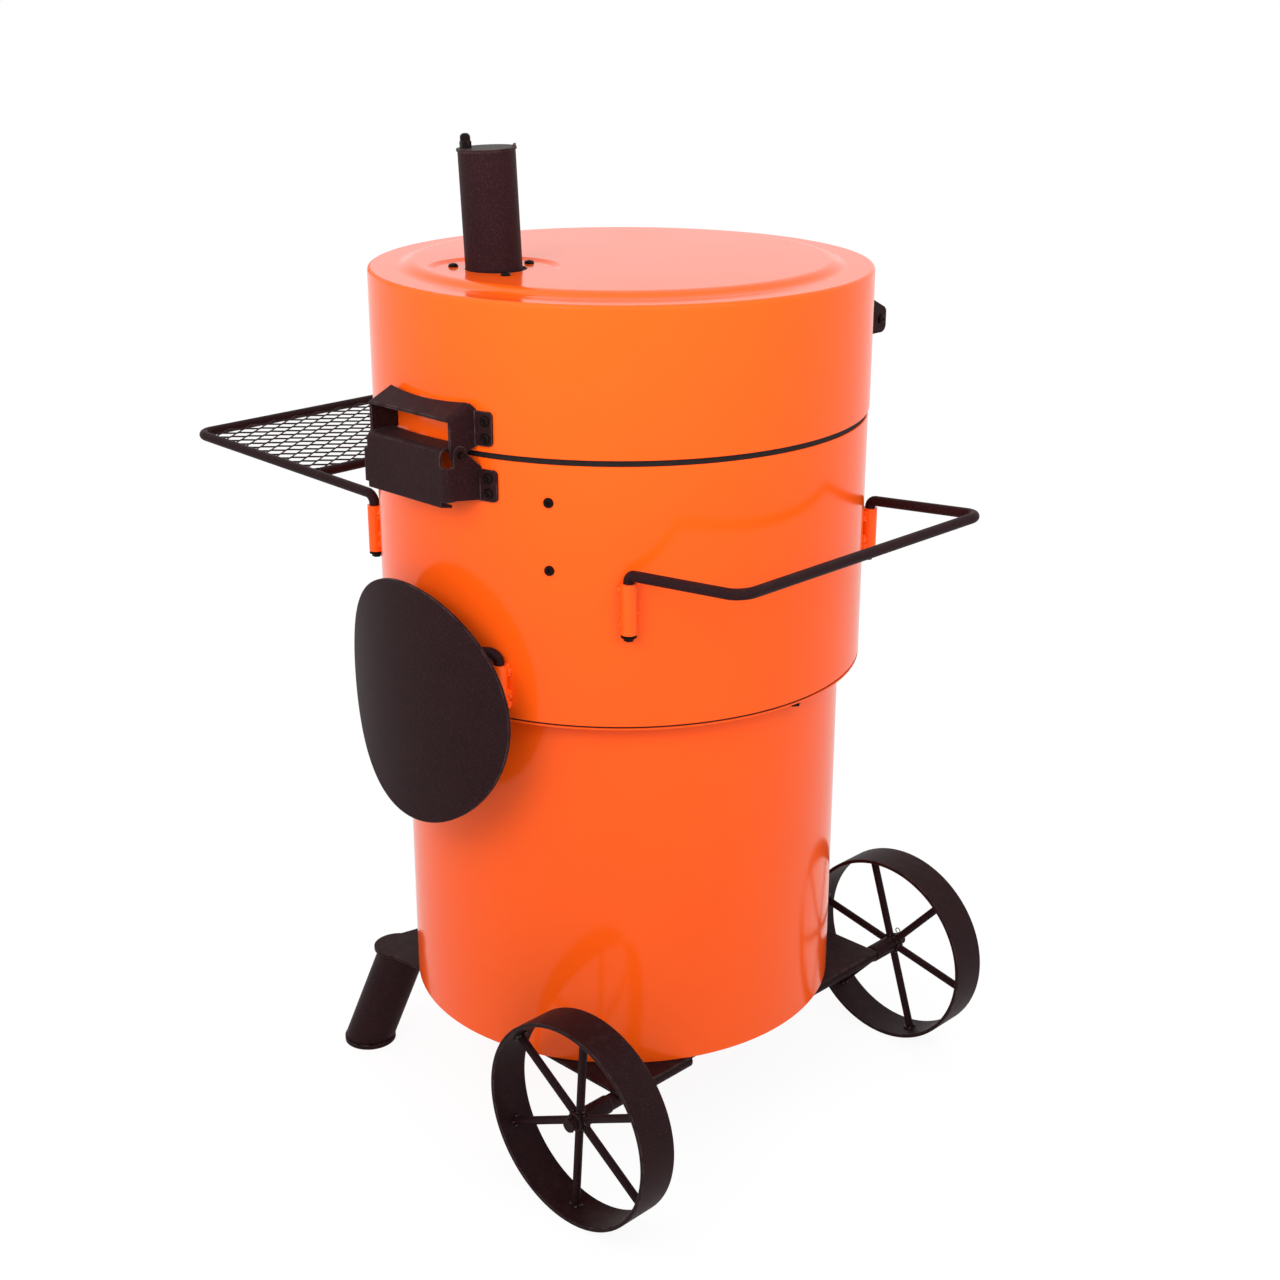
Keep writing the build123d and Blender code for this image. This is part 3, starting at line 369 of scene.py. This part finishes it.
def drawn_steel(finish):
    """Drawn steel bar, a little uneven."""
    material, tree, shader = new_material("drawn_steel", {"Metallic": 1})
    lay = use_group(tree, "Coat lay", patch_size=0.03, grain_size=0.0012)
    plug(tree, shader, {
        "Base Color": blend_colours(tree, lay["Patch"], finish.steel, scaled(finish.steel, 0.72)),
        "Roughness": remap(tree, lay["Grain"], 0.3, 0.7, 0.3, 0.44),
        "Normal": bump(tree, lay["Grain"], strength=0.12, distance=0.0003)})
    return material


def rope_seal_and_gap_shade(finish):
    """Braided black rope, its colour set darker than the rope to paint the shade of the gap at the step."""
    material, tree, shader = new_material("rope_seal_and_gap_shade", {"Roughness": 0.9})
    lay = use_group(tree, "Coat lay", patch_size=0.004, grain_size=0.0014)
    plug(tree, shader, {
        "Base Color": blend_colours(tree, lay["Patch"], finish.seal, scaled(finish.seal, 2.2)),
        "Normal": bump(tree, lay["Grain"], strength=0.6, distance=0.0008)})
    return material


FINISH_MAKERS = {"gloss_enamel": gloss_enamel, "powder_coat": powder_coat, "coated_weld": coated_weld,
                 "oiled_oxide": oiled_oxide, "drawn_steel": drawn_steel, "rope_seal_and_gap_shade": rope_seal_and_gap_shade}


def finish_material(name):
    """The named finish, made on first use."""
    return bpy.data.materials.get(name) or FINISH_MAKERS[name](bpy.context.scene.smoker_finish)


def coat_nodes(names, finish):
    """Gives CAD nodes a finish."""
    for name in names:
        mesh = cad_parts[name].data
        mesh.materials.clear()
        mesh.materials.append(finish_material(finish))


def add_piece(name, bm, finish, body):
    """Turns a bmesh into a piece that rides on a body."""
    for face in bm.faces:
        face.smooth = True
    for edge in bm.edges:
        edge.smooth = len(edge.link_faces) == 2 and edge.calc_face_angle(0) < SMOOTH_ANGLE
    mesh = bpy.data.meshes.new(name)
    bm.to_mesh(mesh)
    bm.free()
    if not mesh.polygons:
        raise RuntimeError(f"{name} has no faces")
    mesh.materials.append(finish_material(finish))
    piece = bpy.data.objects.new(name, mesh)
    bpy.context.scene.collection.objects.link(piece)
    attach(piece, body)
    return piece


def settled(bm, steady):
    """The same mesh on every run: sorts its corners, and the faces after the first steady ones."""
    order = sorted(bm.verts, key=lambda vert: tuple(vert.co))
    place = {vert: index for index, vert in enumerate(order)}
    rings = [[place[vert] for vert in face.verts] for face in bm.faces]
    loose = []
    for ring in rings[steady:]:
        first = ring.index(min(ring))
        loose.append(ring[first:] + ring[:first])
    fresh = bmesh.new()
    verts = [fresh.verts.new(vert.co) for vert in order]
    for ring in rings[:steady] + sorted(loose):
        fresh.faces.new([verts[index] for index in ring])
    bm.free()
    return fresh


def facing(point, direction):
    """A frame at a point whose Z runs along a direction."""
    return Matrix.Translation(point) @ direction.to_track_quat("Z", "Y").to_matrix().to_4x4()


def ring_verts(bm, matrix, radii, height):
    """A ring of vertices at a height, one radius for each."""
    count = len(radii)
    ring = []
    for index, radius in enumerate(radii):
        turn = math.tau * index / count
        ring.append(bm.verts.new(matrix @ Vector((radius * math.cos(turn), radius * math.sin(turn), height))))
    return ring


def join_rings(bm, rings, closed=False):
    """Faces between each ring and the next."""
    pairs = list(zip(rings, rings[1:]))
    if closed:
        pairs.append((rings[-1], rings[0]))
    for low, high in pairs:
        for index in range(len(low)):
            after = (index + 1) % len(low)
            bm.faces.new((low[index], low[after], high[after], high[index]))


def turned(bm, matrix, profile, sides):
    """A turned solid from (radius, height) points, closed at both ends."""
    rings = [ring_verts(bm, matrix, [radius] * sides, height) for radius, height in profile]
    join_rings(bm, rings)
    bm.faces.new(reversed(rings[0]))
    bm.faces.new(rings[-1])


# A button head's outline and its hexagon, as shares of its radius and rise.
HEAD_DOME = ((1, 0), (1, 0.2), (0.95, 0.5), (0.82, 0.8), (0.62, 1))
HEX_FLAT = 0.4
HEX_FLOOR = 0.25


def button_head(bm, point, out, radius, rise):
    """A domed bolt head with a hexagon socket."""
    sides = 24
    matrix = facing(point, out)
    rings = [ring_verts(bm, matrix, [radius * r] * sides, rise * h) for r, h in HEAD_DOME]
    flat = radius * HEX_FLAT
    hexagon = []
    for index in range(sides):
        turn = (math.tau * index / sides) % (math.pi / 3) - math.pi / 6
        hexagon.append(flat / math.cos(turn))
    rings.append(ring_verts(bm, matrix, hexagon, rise))
    rings.append(ring_verts(bm, matrix, hexagon, rise * HEX_FLOOR))
    join_rings(bm, rings)
    bm.faces.new(reversed(rings[0]))
    bm.faces.new(rings[-1])


def swept(bm, points, radii, sides, closed=False):
    """A tube through points with a radius at each, and capped ends unless it closes on itself."""
    count = len(points)
    rings = []
    side = None
    for index, point in enumerate(points):
        before = points[index - 1] if index or closed else point
        after = points[(index + 1) % count] if index + 1 < count or closed else point
        along = (after - before).normalized()
        if side is None:
            side = along.orthogonal().normalized()
        side = (side - along * side.dot(along)).normalized()
        other = along.cross(side)
        ring = []
        for step in range(sides):
            turn = math.tau * step / sides
            ring.append(bm.verts.new(point + (side * math.cos(turn) + other * math.sin(turn)) * radii[index]))
        rings.append(ring)
    join_rings(bm, rings, closed)
    if not closed:
        bm.faces.new(reversed(rings[0]))
        bm.faces.new(rings[-1])


# Weld drops: ripple of one drop, then spacing, stray and sizes along a seam and round a bar.
RIPPLE = 0.3
RIPPLE_GRAIN = 0.9
FINE_SHARE = 0.4
FINE_SCALE = 2.7
RUN_SPACING = 1.2
RUN_STRAY = 0.35
RUN_SIZES = (0.65, 1.25)
ROUND_STRAY = 0.25
ROUND_SIZES = (0.75, 1.2)


def weld_drop(bm, spot, radius, rng):
    """One ragged drop of weld metal."""
    turn = Euler([rng.uniform(0, math.tau) for _ in range(3)]).to_matrix().to_4x4()
    stretch = Matrix.Diagonal([rng.uniform(0.8, 1.2) for _ in range(3)] + [1])
    made = bmesh.ops.create_icosphere(bm, subdivisions=3, radius=radius, matrix=turn @ stretch)
    grain = RIPPLE_GRAIN / radius
    seed = Vector([rng.uniform(0, 50) for _ in range(3)])
    for vert in made["verts"]:
        fine = noise.noise(vert.co * grain * FINE_SCALE + seed)
        ripple = noise.noise(vert.co * grain + seed) + FINE_SHARE * fine
        vert.co = spot + vert.co * (1 + RIPPLE * ripple)


def weld_run(bm, start, end, radius, rng):
    """A row of overlapping drops along a seam."""
    count = max(2, round((end - start).length / (radius * RUN_SPACING)) + 1)
    for index in range(count):
        spot = start.lerp(end, index / (count - 1))
        spot += Vector([rng.uniform(-RUN_STRAY, RUN_STRAY) * radius for _ in range(3)])
        weld_drop(bm, spot, radius * rng.uniform(*RUN_SIZES), rng)


def weld_round(bm, point, along, radius, drop, count, rng):
    """Drops set round a bar's end, unevenly spaced."""
    matrix = facing(point, along)
    first = rng.uniform(0, math.tau)
    for index in range(count):
        turn = first + math.tau * (index + rng.uniform(-ROUND_STRAY, ROUND_STRAY)) / count
        spot = matrix @ Vector((radius * math.cos(turn), radius * math.sin(turn), 0))
        weld_drop(bm, spot, drop * rng.uniform(*ROUND_SIZES), rng)


class SMOKER_OT_enamel(bpy.types.Operator):
    """Orange enamel on the drum, the lid and the sockets"""
    bl_idname = "smoker.enamel"
    bl_label = "Enamel drum and lid"

    def execute(self, context):
        coat_nodes(ORANGE_NODES, "gloss_enamel")
        return {"FINISHED"}


class SMOKER_OT_coat(bpy.types.Operator):
    """Black coat on frames, wheels and hinge, and the finishes of grates, seals and fasteners"""
    bl_idname = "smoker.coat"
    bl_label = "Coat frames, wheels and grates"

    def execute(self, context):
        coat_nodes(STEEL_NODES, "drawn_steel")
        coat_nodes(SEAL_NODES, "rope_seal_and_gap_shade")
        coat_nodes(FASTENER_NODES, "oiled_oxide")
        done = ORANGE_NODES + STEEL_NODES + SEAL_NODES + FASTENER_NODES
        coat_nodes([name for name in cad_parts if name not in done], "powder_coat")
        return {"FINISHED"}


class SMOKER_OT_shelf_mesh(bpy.types.Operator):
    """Expanded-metal sheet of the shelf, with tipped joints and slanting strands"""
    bl_idname = "smoker.shelf_mesh"
    bl_label = "Shelf mesh"

    def execute(self, context):
        sizes = context.scene.smoker_hardware
        low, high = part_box("shelf_mesh")
        step_x = (high.x - low.x) / sizes.mesh_across
        step_y = (high.y - low.y) / sizes.mesh_along
        bm = bmesh.new()
        joints = {}

        def joint(i, j):
            if (i, j) not in joints:
                joints[i, j] = bm.verts.new((low.x + i * step_x / 2, low.y + j * step_y / 2, 0))
            return joints[i, j]

        for i in range(2 * sizes.mesh_across + 1):
            for j in range(2 * sizes.mesh_along + 1):
                if (i + j) % 2:
                    bm.faces.new((joint(i - 1, j), joint(i, j - 1), joint(i + 1, j), joint(i, j + 1)))
        bm.normal_update()
        inset = bmesh.ops.inset_individual(bm, faces=bm.faces[:], thickness=sizes.strand / 2)
        holes = [face for face in bm.faces if face not in set(inset["faces"])]
        bmesh.ops.delete(bm, geom=holes, context="FACES")
        tip = sizes.strand / 2 / math.sin(math.atan2(step_y, step_x))
        for vert in bm.verts:
            place = (vert.co.x - low.x) / (step_x / 2)
            off = (place - round(place)) * step_x / 2
            vert.co.z = -sizes.strand_rise * max(-1, min(1, off / tip))
        for axis, place, side in ((0, low.x, -1), (0, high.x, 1), (1, low.y, -1), (1, high.y, 1)):
            spot = Vector((0, 0, 0))
            spot[axis] = place
            normal = Vector((0, 0, 0))
            normal[axis] = side
            geometry = bm.verts[:] + bm.edges[:] + bm.faces[:]
            bmesh.ops.bisect_plane(bm, geom=geometry, plane_co=spot, plane_no=normal, clear_outer=True)
        bm.normal_update()
        both_sides = 2 * len(bm.faces)
        bmesh.ops.solidify(bm, geom=bm.faces[:], thickness=sizes.sheet)
        top = max(vert.co.z for vert in bm.verts)
        slope = (high.z - low.z - sizes.sheet) / (high.x - low.x)
        for vert in bm.verts:
            vert.co.z += high.z - top - slope * (high.x - vert.co.x)
        bmesh.ops.recalc_face_normals(bm, faces=bm.faces[:])
        bm = settled(bm, both_sides)
        sheet = add_piece("shelf_mesh_sheet", bm, "powder_coat", "stand")
        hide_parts("shelf_mesh")
        return {"FINISHED"}


# Bolts: angles from +X in degrees, drops below the drum's top, heights above the floor.
GRATE_BOLT_ANGLES = (119.5, 239.5, 359.5)
GRATE_BOLT_DROPS = (0.0404, 0.1141)
HINGE_SHEET = 0.0032
DRUM_EAR_SIDE = 0.0785
DRUM_EAR_HEIGHTS = (0.8342, 0.8179)
LID_EAR_SIDE = 0.078
LID_EAR_HEIGHTS = (0.8952, 0.8771)
# The box of the chimney's flange has its middle this far off the middle of the bolt circle.
PAD_SHIFT = Vector((0.00157, 0.00154, 0))
PAD_BOLTS_R = 0.0494
PAD_BOLT_ANGLES = (30.5, 150.5, 270.5)
LID_SHEET = 0.002


def hinge_bolts(bm, wall, side_reach, heights, radius, rise):
    """Bolts through both ears of a hinge bracket."""
    for side in (1, -1):
        angle = 90 - side * math.degrees(math.asin(side_reach / wall))
        for height in heights:
            button_head(bm, *on_wall(wall + HINGE_SHEET, angle, height), radius, rise)


class SMOKER_OT_bolts(bpy.types.Operator):
    """Button-head bolts of hinge, grates, chimney and lid handle"""
    bl_idname = "smoker.bolts"
    bl_label = "Button-head bolts"

    def execute(self, context):
        sizes = context.scene.smoker_hardware
        radius = sizes.head / 2
        rise = sizes.head_rise
        on_stand = bmesh.new()
        for angle in GRATE_BOLT_ANGLES:
            for drop in GRATE_BOLT_DROPS:
                button_head(on_stand, *on_wall(UPPER_R, angle, UPPER_TOP - drop), radius, rise)
        hinge_bolts(on_stand, UPPER_R, DRUM_EAR_SIDE, DRUM_EAR_HEIGHTS, radius, rise)
        add_piece("drum_bolts", on_stand, "oiled_oxide", "stand")
        on_lid = bmesh.new()
        hinge_bolts(on_lid, LID_R, LID_EAR_SIDE, LID_EAR_HEIGHTS, radius, rise)
        pad = centre("chimney_flange") - PAD_SHIFT
        pad.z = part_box("chimney_flange")[1].z + LID_SHEET
        for angle in PAD_BOLT_ANGLES:
            turn = math.radians(angle)
            spot = pad + Vector((math.cos(turn), math.sin(turn), 0)) * PAD_BOLTS_R
            button_head(on_lid, spot, Vector((0, 0, 1)), radius, rise)
        grip = centre("handle_grip")
        for corner, side in zip(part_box("handle_brackets"), (-1, 1)):
            button_head(on_lid, Vector((corner.x, grip.y, grip.z)), Vector((side, 0, 0)), radius, rise)
        add_piece("lid_bolts", on_lid, "oiled_oxide", "lid")
        return {"FINISHED"}


# Sockets: angles round the drum, the rods' distance from its wall, the weld seams, washer and bolt.
SOCKET_ANGLE = 43.6
SHIELD_ANGLE = 108.25
SOCKET_SPOTS = [("shelf_sockets", SOCKET_ANGLE), ("shelf_sockets", -SOCKET_ANGLE),
                ("bar_sockets", 180 - SOCKET_ANGLE), ("bar_sockets", 180 + SOCKET_ANGLE),
                ("shield_socket", SHIELD_ANGLE)]
ROD_OUT = 0.0088
SEAM_OFF = 0.0068
SEAM_OUT = 0.0023
SEAM_RUNS = ((0.004, 0.014), (0.0335, 0.049))
WASHER_EDGE = ((0.96, 0), (1, 0.0003), (1, 0.0012), (0.95, 0.0016))
BOLT_UNDER_ROD = ((0.0056, 0.0016), (0.0058, 0.002), (0.0058, 0.0048), (0.0049, 0.0056))


class SMOKER_OT_socket_bolts(bpy.types.Operator):
    """Washer and bolt under each rod, where it comes out of its socket"""
    bl_idname = "smoker.socket_bolts"
    bl_label = "Socket washers and bolts"

    def execute(self, context):
        washer = context.scene.smoker_hardware.washer / 2
        down = Vector((0, 0, -1))
        on_stand = bmesh.new()
        on_shield = bmesh.new()
        for node, angle in SOCKET_SPOTS:
            rod = "shield_rod" if node == "shield_socket" else "shelf_frame"
            foot, _ = on_wall(UPPER_R + ROD_OUT, angle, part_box(rod)[0].z)
            bm = on_shield if node == "shield_socket" else on_stand
            disc = [(washer * share, height) for share, height in WASHER_EDGE]
            turned(bm, facing(foot, down), disc, sides=32)
            turned(bm, facing(foot, down), BOLT_UNDER_ROD, sides=6)
        add_piece("socket_bolts", on_stand, "oiled_oxide", "stand")
        add_piece("shield_rod_bolt", on_shield, "oiled_oxide", "shield")
        return {"FINISHED"}


class SMOKER_OT_socket_welds(bpy.types.Operator):
    """Lumpy enamelled welds where the sockets meet the drum"""
    bl_idname = "smoker.socket_welds"
    bl_label = "Socket welds"

    def execute(self, context):
        drop = context.scene.smoker_hardware.drop
        rng = random.Random(4)
        bm = bmesh.new()
        for node, angle in SOCKET_SPOTS:
            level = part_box(node)[1].z
            for side in (1, -1):
                turn = angle + side * math.degrees(SEAM_OFF / UPPER_R)
                for start, stop in SEAM_RUNS:
                    top = on_wall(UPPER_R + SEAM_OUT, turn, level - start)[0]
                    foot = on_wall(UPPER_R + SEAM_OUT, turn, level - stop)[0]
                    weld_run(bm, top, foot, drop, rng)
        add_piece("socket_welds", bm, "gloss_enamel", "stand")
        return {"FINISHED"}


# Wheels: rim sheet, spokes, how far the first spoke leans, and the welds' places and drop sizes.
RIM_T = 0.0045
SPOKES = 6
SPOKE_LEAN = {"back": -4, "front": 18}
RIM_WELD_IN = 0.001
RIM_WELD_R = 0.0056
RIM_WELD_DROP = 0.85
HUB_WELD_OUT = 0.0116
HUB_WELD_R = 0.0046
HUB_WELD_DROP = 0.62
SPOKE_WELD_DROPS = 4


class SMOKER_OT_wheel_welds(bpy.types.Operator):
    """Small welds at both ends of every spoke"""
    bl_idname = "smoker.wheel_welds"
    bl_label = "Wheel welds"

    def execute(self, context):
        drop = context.scene.smoker_hardware.drop
        for name, lean in SPOKE_LEAN.items():
            rng = random.Random(name)
            hub = centre(f"{name}_wheel_rim")
            rim = half_width(f"{name}_wheel_rim") - RIM_T
            bm = bmesh.new()
            for index in range(SPOKES):
                turn = math.radians(90 - lean + 360 // SPOKES * index)
                along = Vector((math.cos(turn), 0, math.sin(turn)))
                at_rim = hub + along * (rim - RIM_WELD_IN)
                at_hub = hub + along * HUB_WELD_OUT
                weld_round(bm, at_rim, along, RIM_WELD_R, drop * RIM_WELD_DROP, SPOKE_WELD_DROPS, rng)
                weld_round(bm, at_hub, along, HUB_WELD_R, drop * HUB_WELD_DROP, SPOKE_WELD_DROPS, rng)
            add_piece(f"{name}_wheel_welds", bm, "coated_weld", f"{name}_wheel")
        return {"FINISHED"}


# Frame welds: drops round the shelf's inner bar, runs beside the axles, stitches on the shield's back.
CROSSBAR_WELD_R = 0.0052
CROSSBAR_WELD_DROP = 0.5
CROSSBAR_WELD_DROPS = 5
AXLE_SEAM = 0.0062
AXLE_WELD_SPAN = (0.182, 0.228)
AXLE_WELD_UNDER = 0.001
AXLE_WELD_DROP = 0.7
ROD_R = 0.006
SHIELD_BACK_R = 0.3236
STITCH_ANGLES = (97, 91.5, 86, 80.5)
STITCH_TURN = 2.2
STITCH_OFF = 0.0048
STITCH_DROP = 0.75


class SMOKER_OT_frame_welds(bpy.types.Operator):
    """Welds of the axles, the shelf's inner bar and the shield's rod"""
    bl_idname = "smoker.frame_welds"
    bl_label = "Frame welds"

    def execute(self, context):
        drop = context.scene.smoker_hardware.drop
        rng = random.Random(11)
        bm = bmesh.new()
        middle = centre("shelf_crossbar")
        along = Vector((0, 1, 0))
        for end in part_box("shelf_crossbar"):
            spot = Vector((middle.x, end.y, middle.z))
            weld_round(bm, spot, along, CROSSBAR_WELD_R, drop * CROSSBAR_WELD_DROP, CROSSBAR_WELD_DROPS, rng)
        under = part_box("axle_plate")[0].z - AXLE_WELD_UNDER
        axle = centre("stub_axles")
        for side in (1, -1):
            for shift in (AXLE_SEAM, -AXLE_SEAM):
                ends = [Vector((axle.x + shift, axle.y + side * out, under)) for out in AXLE_WELD_SPAN]
                weld_run(bm, *ends, drop * AXLE_WELD_DROP, rng)
        add_piece("frame_welds", bm, "coated_weld", "stand")
        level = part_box("shield_rod")[1].z - ROD_R
        bm = bmesh.new()
        for angle in STITCH_ANGLES:
            for side in (1, -1):
                height = level + side * STITCH_OFF
                ends = [on_wall(SHIELD_BACK_R, angle - turn, height)[0] for turn in (0, STITCH_TURN)]
                weld_run(bm, *ends, drop * STITCH_DROP, rng)
        add_piece("shield_welds", bm, "coated_weld", "shield")
        return {"FINISHED"}


# Pins: distance from the axle's end, how far they stand out, the roll pin's thickness in wires, the ring.
PIN_FROM_END = 0.0065
PIN_PROUD = 0.0112
ROLL_PIN = 1.6
RING_FOOT = 0.9
RING_R = 0.0034
RING_STEPS = 28


class SMOKER_OT_axle_pins(bpy.types.Operator):
    """A roll pin through the near axle end and a ring pin through the far one"""
    bl_idname = "smoker.axle_pins"
    bl_label = "Axle pins"

    def execute(self, context):
        wire = context.scene.smoker_hardware.pin_wire / 2
        low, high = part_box("stub_axles")
        axle = centre("stub_axles")
        down = Vector((0, 0, -PIN_PROUD))
        roll = bmesh.new()
        near = Vector((axle.x, high.y - PIN_FROM_END, axle.z))
        swept(roll, [near - down, near, near + down], [wire * ROLL_PIN] * 3, sides=12)
        add_piece("near_axle_pin", roll, "oiled_oxide", "stand")
        ring = bmesh.new()
        far = Vector((axle.x, low.y + PIN_FROM_END, axle.z))
        top = far - down * RING_FOOT
        swept(ring, [far + down, far, top], [wire] * 3, sides=8)
        points = []
        for step in range(RING_STEPS):
            turn = math.tau * step / RING_STEPS
            points.append(top + RING_R * Vector((math.sin(turn), 0, 1 - math.cos(turn))))
        swept(ring, points, [wire] * len(points), sides=8, closed=True)
        add_piece("far_axle_pin", ring, "drawn_steel", "stand")
        return {"FINISHED"}


# Studio: lamps by angle from +X in degrees; FLOOR_LIT lifts the lit floor to white.
KEY_ANGLE = 106
FILL_ANGLE = 165
LAMP_SIZE = 0.9
LAMP_SPREAD = 132
LAMP_HEIGHT = 1.45
LAMP_REACH = 1.28
FLOOR_LIT = 1.35
FLOOR_R = 40
SENSOR_WIDTH = 36


class SMOKER_OT_stage(bpy.types.Operator):
    """Pale floor, soft studio light and the camera"""
    bl_idname = "smoker.stage"
    bl_label = "Studio"

    def execute(self, context):
        stage = context.scene.smoker_stage
        self.floor(stage)
        self.world(context.scene, stage)
        self.lamp("key", KEY_ANGLE, stage.key)
        self.lamp("fill", FILL_ANGLE, stage.fill)
        camera = bpy.data.objects.new("camera", bpy.data.cameras.new("camera"))
        camera.data.lens = stage.lens
        camera.data.sensor_width = SENSOR_WIDTH
        camera.location = stage.eye
        camera.rotation_euler = Euler(stage.aim)
        context.scene.collection.objects.link(camera)
        context.scene.camera = camera
        context.scene.view_settings.view_transform = "Standard"
        return {"FINISHED"}

    def seen(self, tree, mirrored=1.0):
        """One where a camera or glass ray looks, a share of it for a mirror ray, and zero for light."""
        path = tree.nodes.new("ShaderNodeLightPath")
        total = path.outputs["Is Camera Ray"]
        mirror = remap(tree, path.outputs["Is Glossy Ray"], 0, 1, 0, mirrored)
        for ray in (path.outputs["Is Transmission Ray"], mirror):
            node = tree.nodes.new("ShaderNodeMath")
            node.operation = "MAXIMUM"
            tree.links.new(total, node.inputs[0])
            tree.links.new(ray, node.inputs[1])
            total = node.outputs[0]
        return total

    def floor(self, stage):
        """A wide floor that is white to the camera and keeps a faint shadow."""
        bm = bmesh.new()
        bmesh.ops.create_circle(bm, cap_ends=True, segments=96, radius=FLOOR_R)
        mesh = bpy.data.meshes.new("floor")
        bm.to_mesh(mesh)
        bm.free()
        material, tree, shader = new_material("floor", {"Roughness": 1, "Specular IOR Level": 0,
                                                        "Emission Color": (1, 1, 1, 1)})
        seen = self.seen(tree, stage.floor_mirrored)
        dimmed = [FLOOR_LIT * (1 - stage.floor_glow)] * 3
        plug(tree, shader, {"Base Color": blend_colours(tree, seen, stage.floor, dimmed),
                            "Emission Strength": remap(tree, seen, 0, 1, 0, stage.floor_glow)})
        mesh.materials.append(material)
        plane = bpy.data.objects.new("floor", mesh)
        plane.location.z = CAD_BOX[0].z
        bpy.context.scene.collection.objects.link(plane)

    def world(self, scene, stage):
        """Even white light from all round, at full white where it shows."""
        world = bpy.data.worlds.new("studio")
        world.use_nodes = True
        tree = world.node_tree
        back = tree.nodes["Background"]
        back.inputs["Color"].default_value = (1, 1, 1, 1)
        tree.links.new(remap(tree, self.seen(tree), 0, 1, stage.sky, 1), back.inputs["Strength"])
        scene.world = world

    def lamp(self, name, angle, power):
        """A large round lamp on the camera's side, above the chimney, that shines level over the drum."""
        turn = math.radians(angle)
        lamp = bpy.data.lights.new(name, "AREA")
        lamp.shape = "DISK"
        lamp.size = LAMP_SIZE
        lamp.energy = power
        lamp.spread = math.radians(LAMP_SPREAD)
        out = Vector((math.cos(turn), math.sin(turn), 0))
        holder = bpy.data.objects.new(name, lamp)
        holder.location = Vector((AXIS.x, AXIS.y, LAMP_HEIGHT)) + out * LAMP_REACH
        holder.rotation_euler = (-out).to_track_quat("-Z", "Y").to_euler()
        holder.visible_glossy = False
        bpy.context.scene.collection.objects.link(holder)


STEPS = (SMOKER_OT_enamel, SMOKER_OT_coat, SMOKER_OT_shelf_mesh, SMOKER_OT_bolts, SMOKER_OT_socket_bolts,
         SMOKER_OT_socket_welds, SMOKER_OT_wheel_welds, SMOKER_OT_frame_welds, SMOKER_OT_axle_pins,
         SMOKER_OT_stage)


class SMOKER_PT_dressing(bpy.types.Panel):
    """Lists the steps that dress the smoker"""
    bl_idname = "SMOKER_PT_dressing"
    bl_label = "Drum smoker"
    bl_space_type = "VIEW_3D"
    bl_region_type = "UI"
    bl_category = "Smoker"

    def draw(self, context):
        for step in STEPS:
            self.layout.operator(step.bl_idname)
        for group in (context.scene.smoker_finish, context.scene.smoker_hardware, context.scene.smoker_stage):
            box = self.layout.box()
            for name in group.__annotations__:
                box.prop(group, name)


GROUPS = {"smoker_finish": SmokerFinish, "smoker_hardware": SmokerHardware, "smoker_stage": SmokerStage}
CLASSES = (*GROUPS.values(), *STEPS, SMOKER_PT_dressing)


def register():
    """Adds the property groups, the steps and the panel."""
    for cls in CLASSES:
        bpy.utils.register_class(cls)
    for name, cls in GROUPS.items():
        setattr(bpy.types.Scene, name, PointerProperty(type=cls))


def unregister():
    """Takes them away again."""
    for name in GROUPS:
        delattr(bpy.types.Scene, name)
    for cls in reversed(CLASSES):
        bpy.utils.unregister_class(cls)


def main():
    """Registers the add-on and runs every step in order."""
    register()
    for step in STEPS:
        family, action = step.bl_idname.split(".")
        getattr(getattr(bpy.ops, family), action)()


if __name__ == "__main__":
    main()
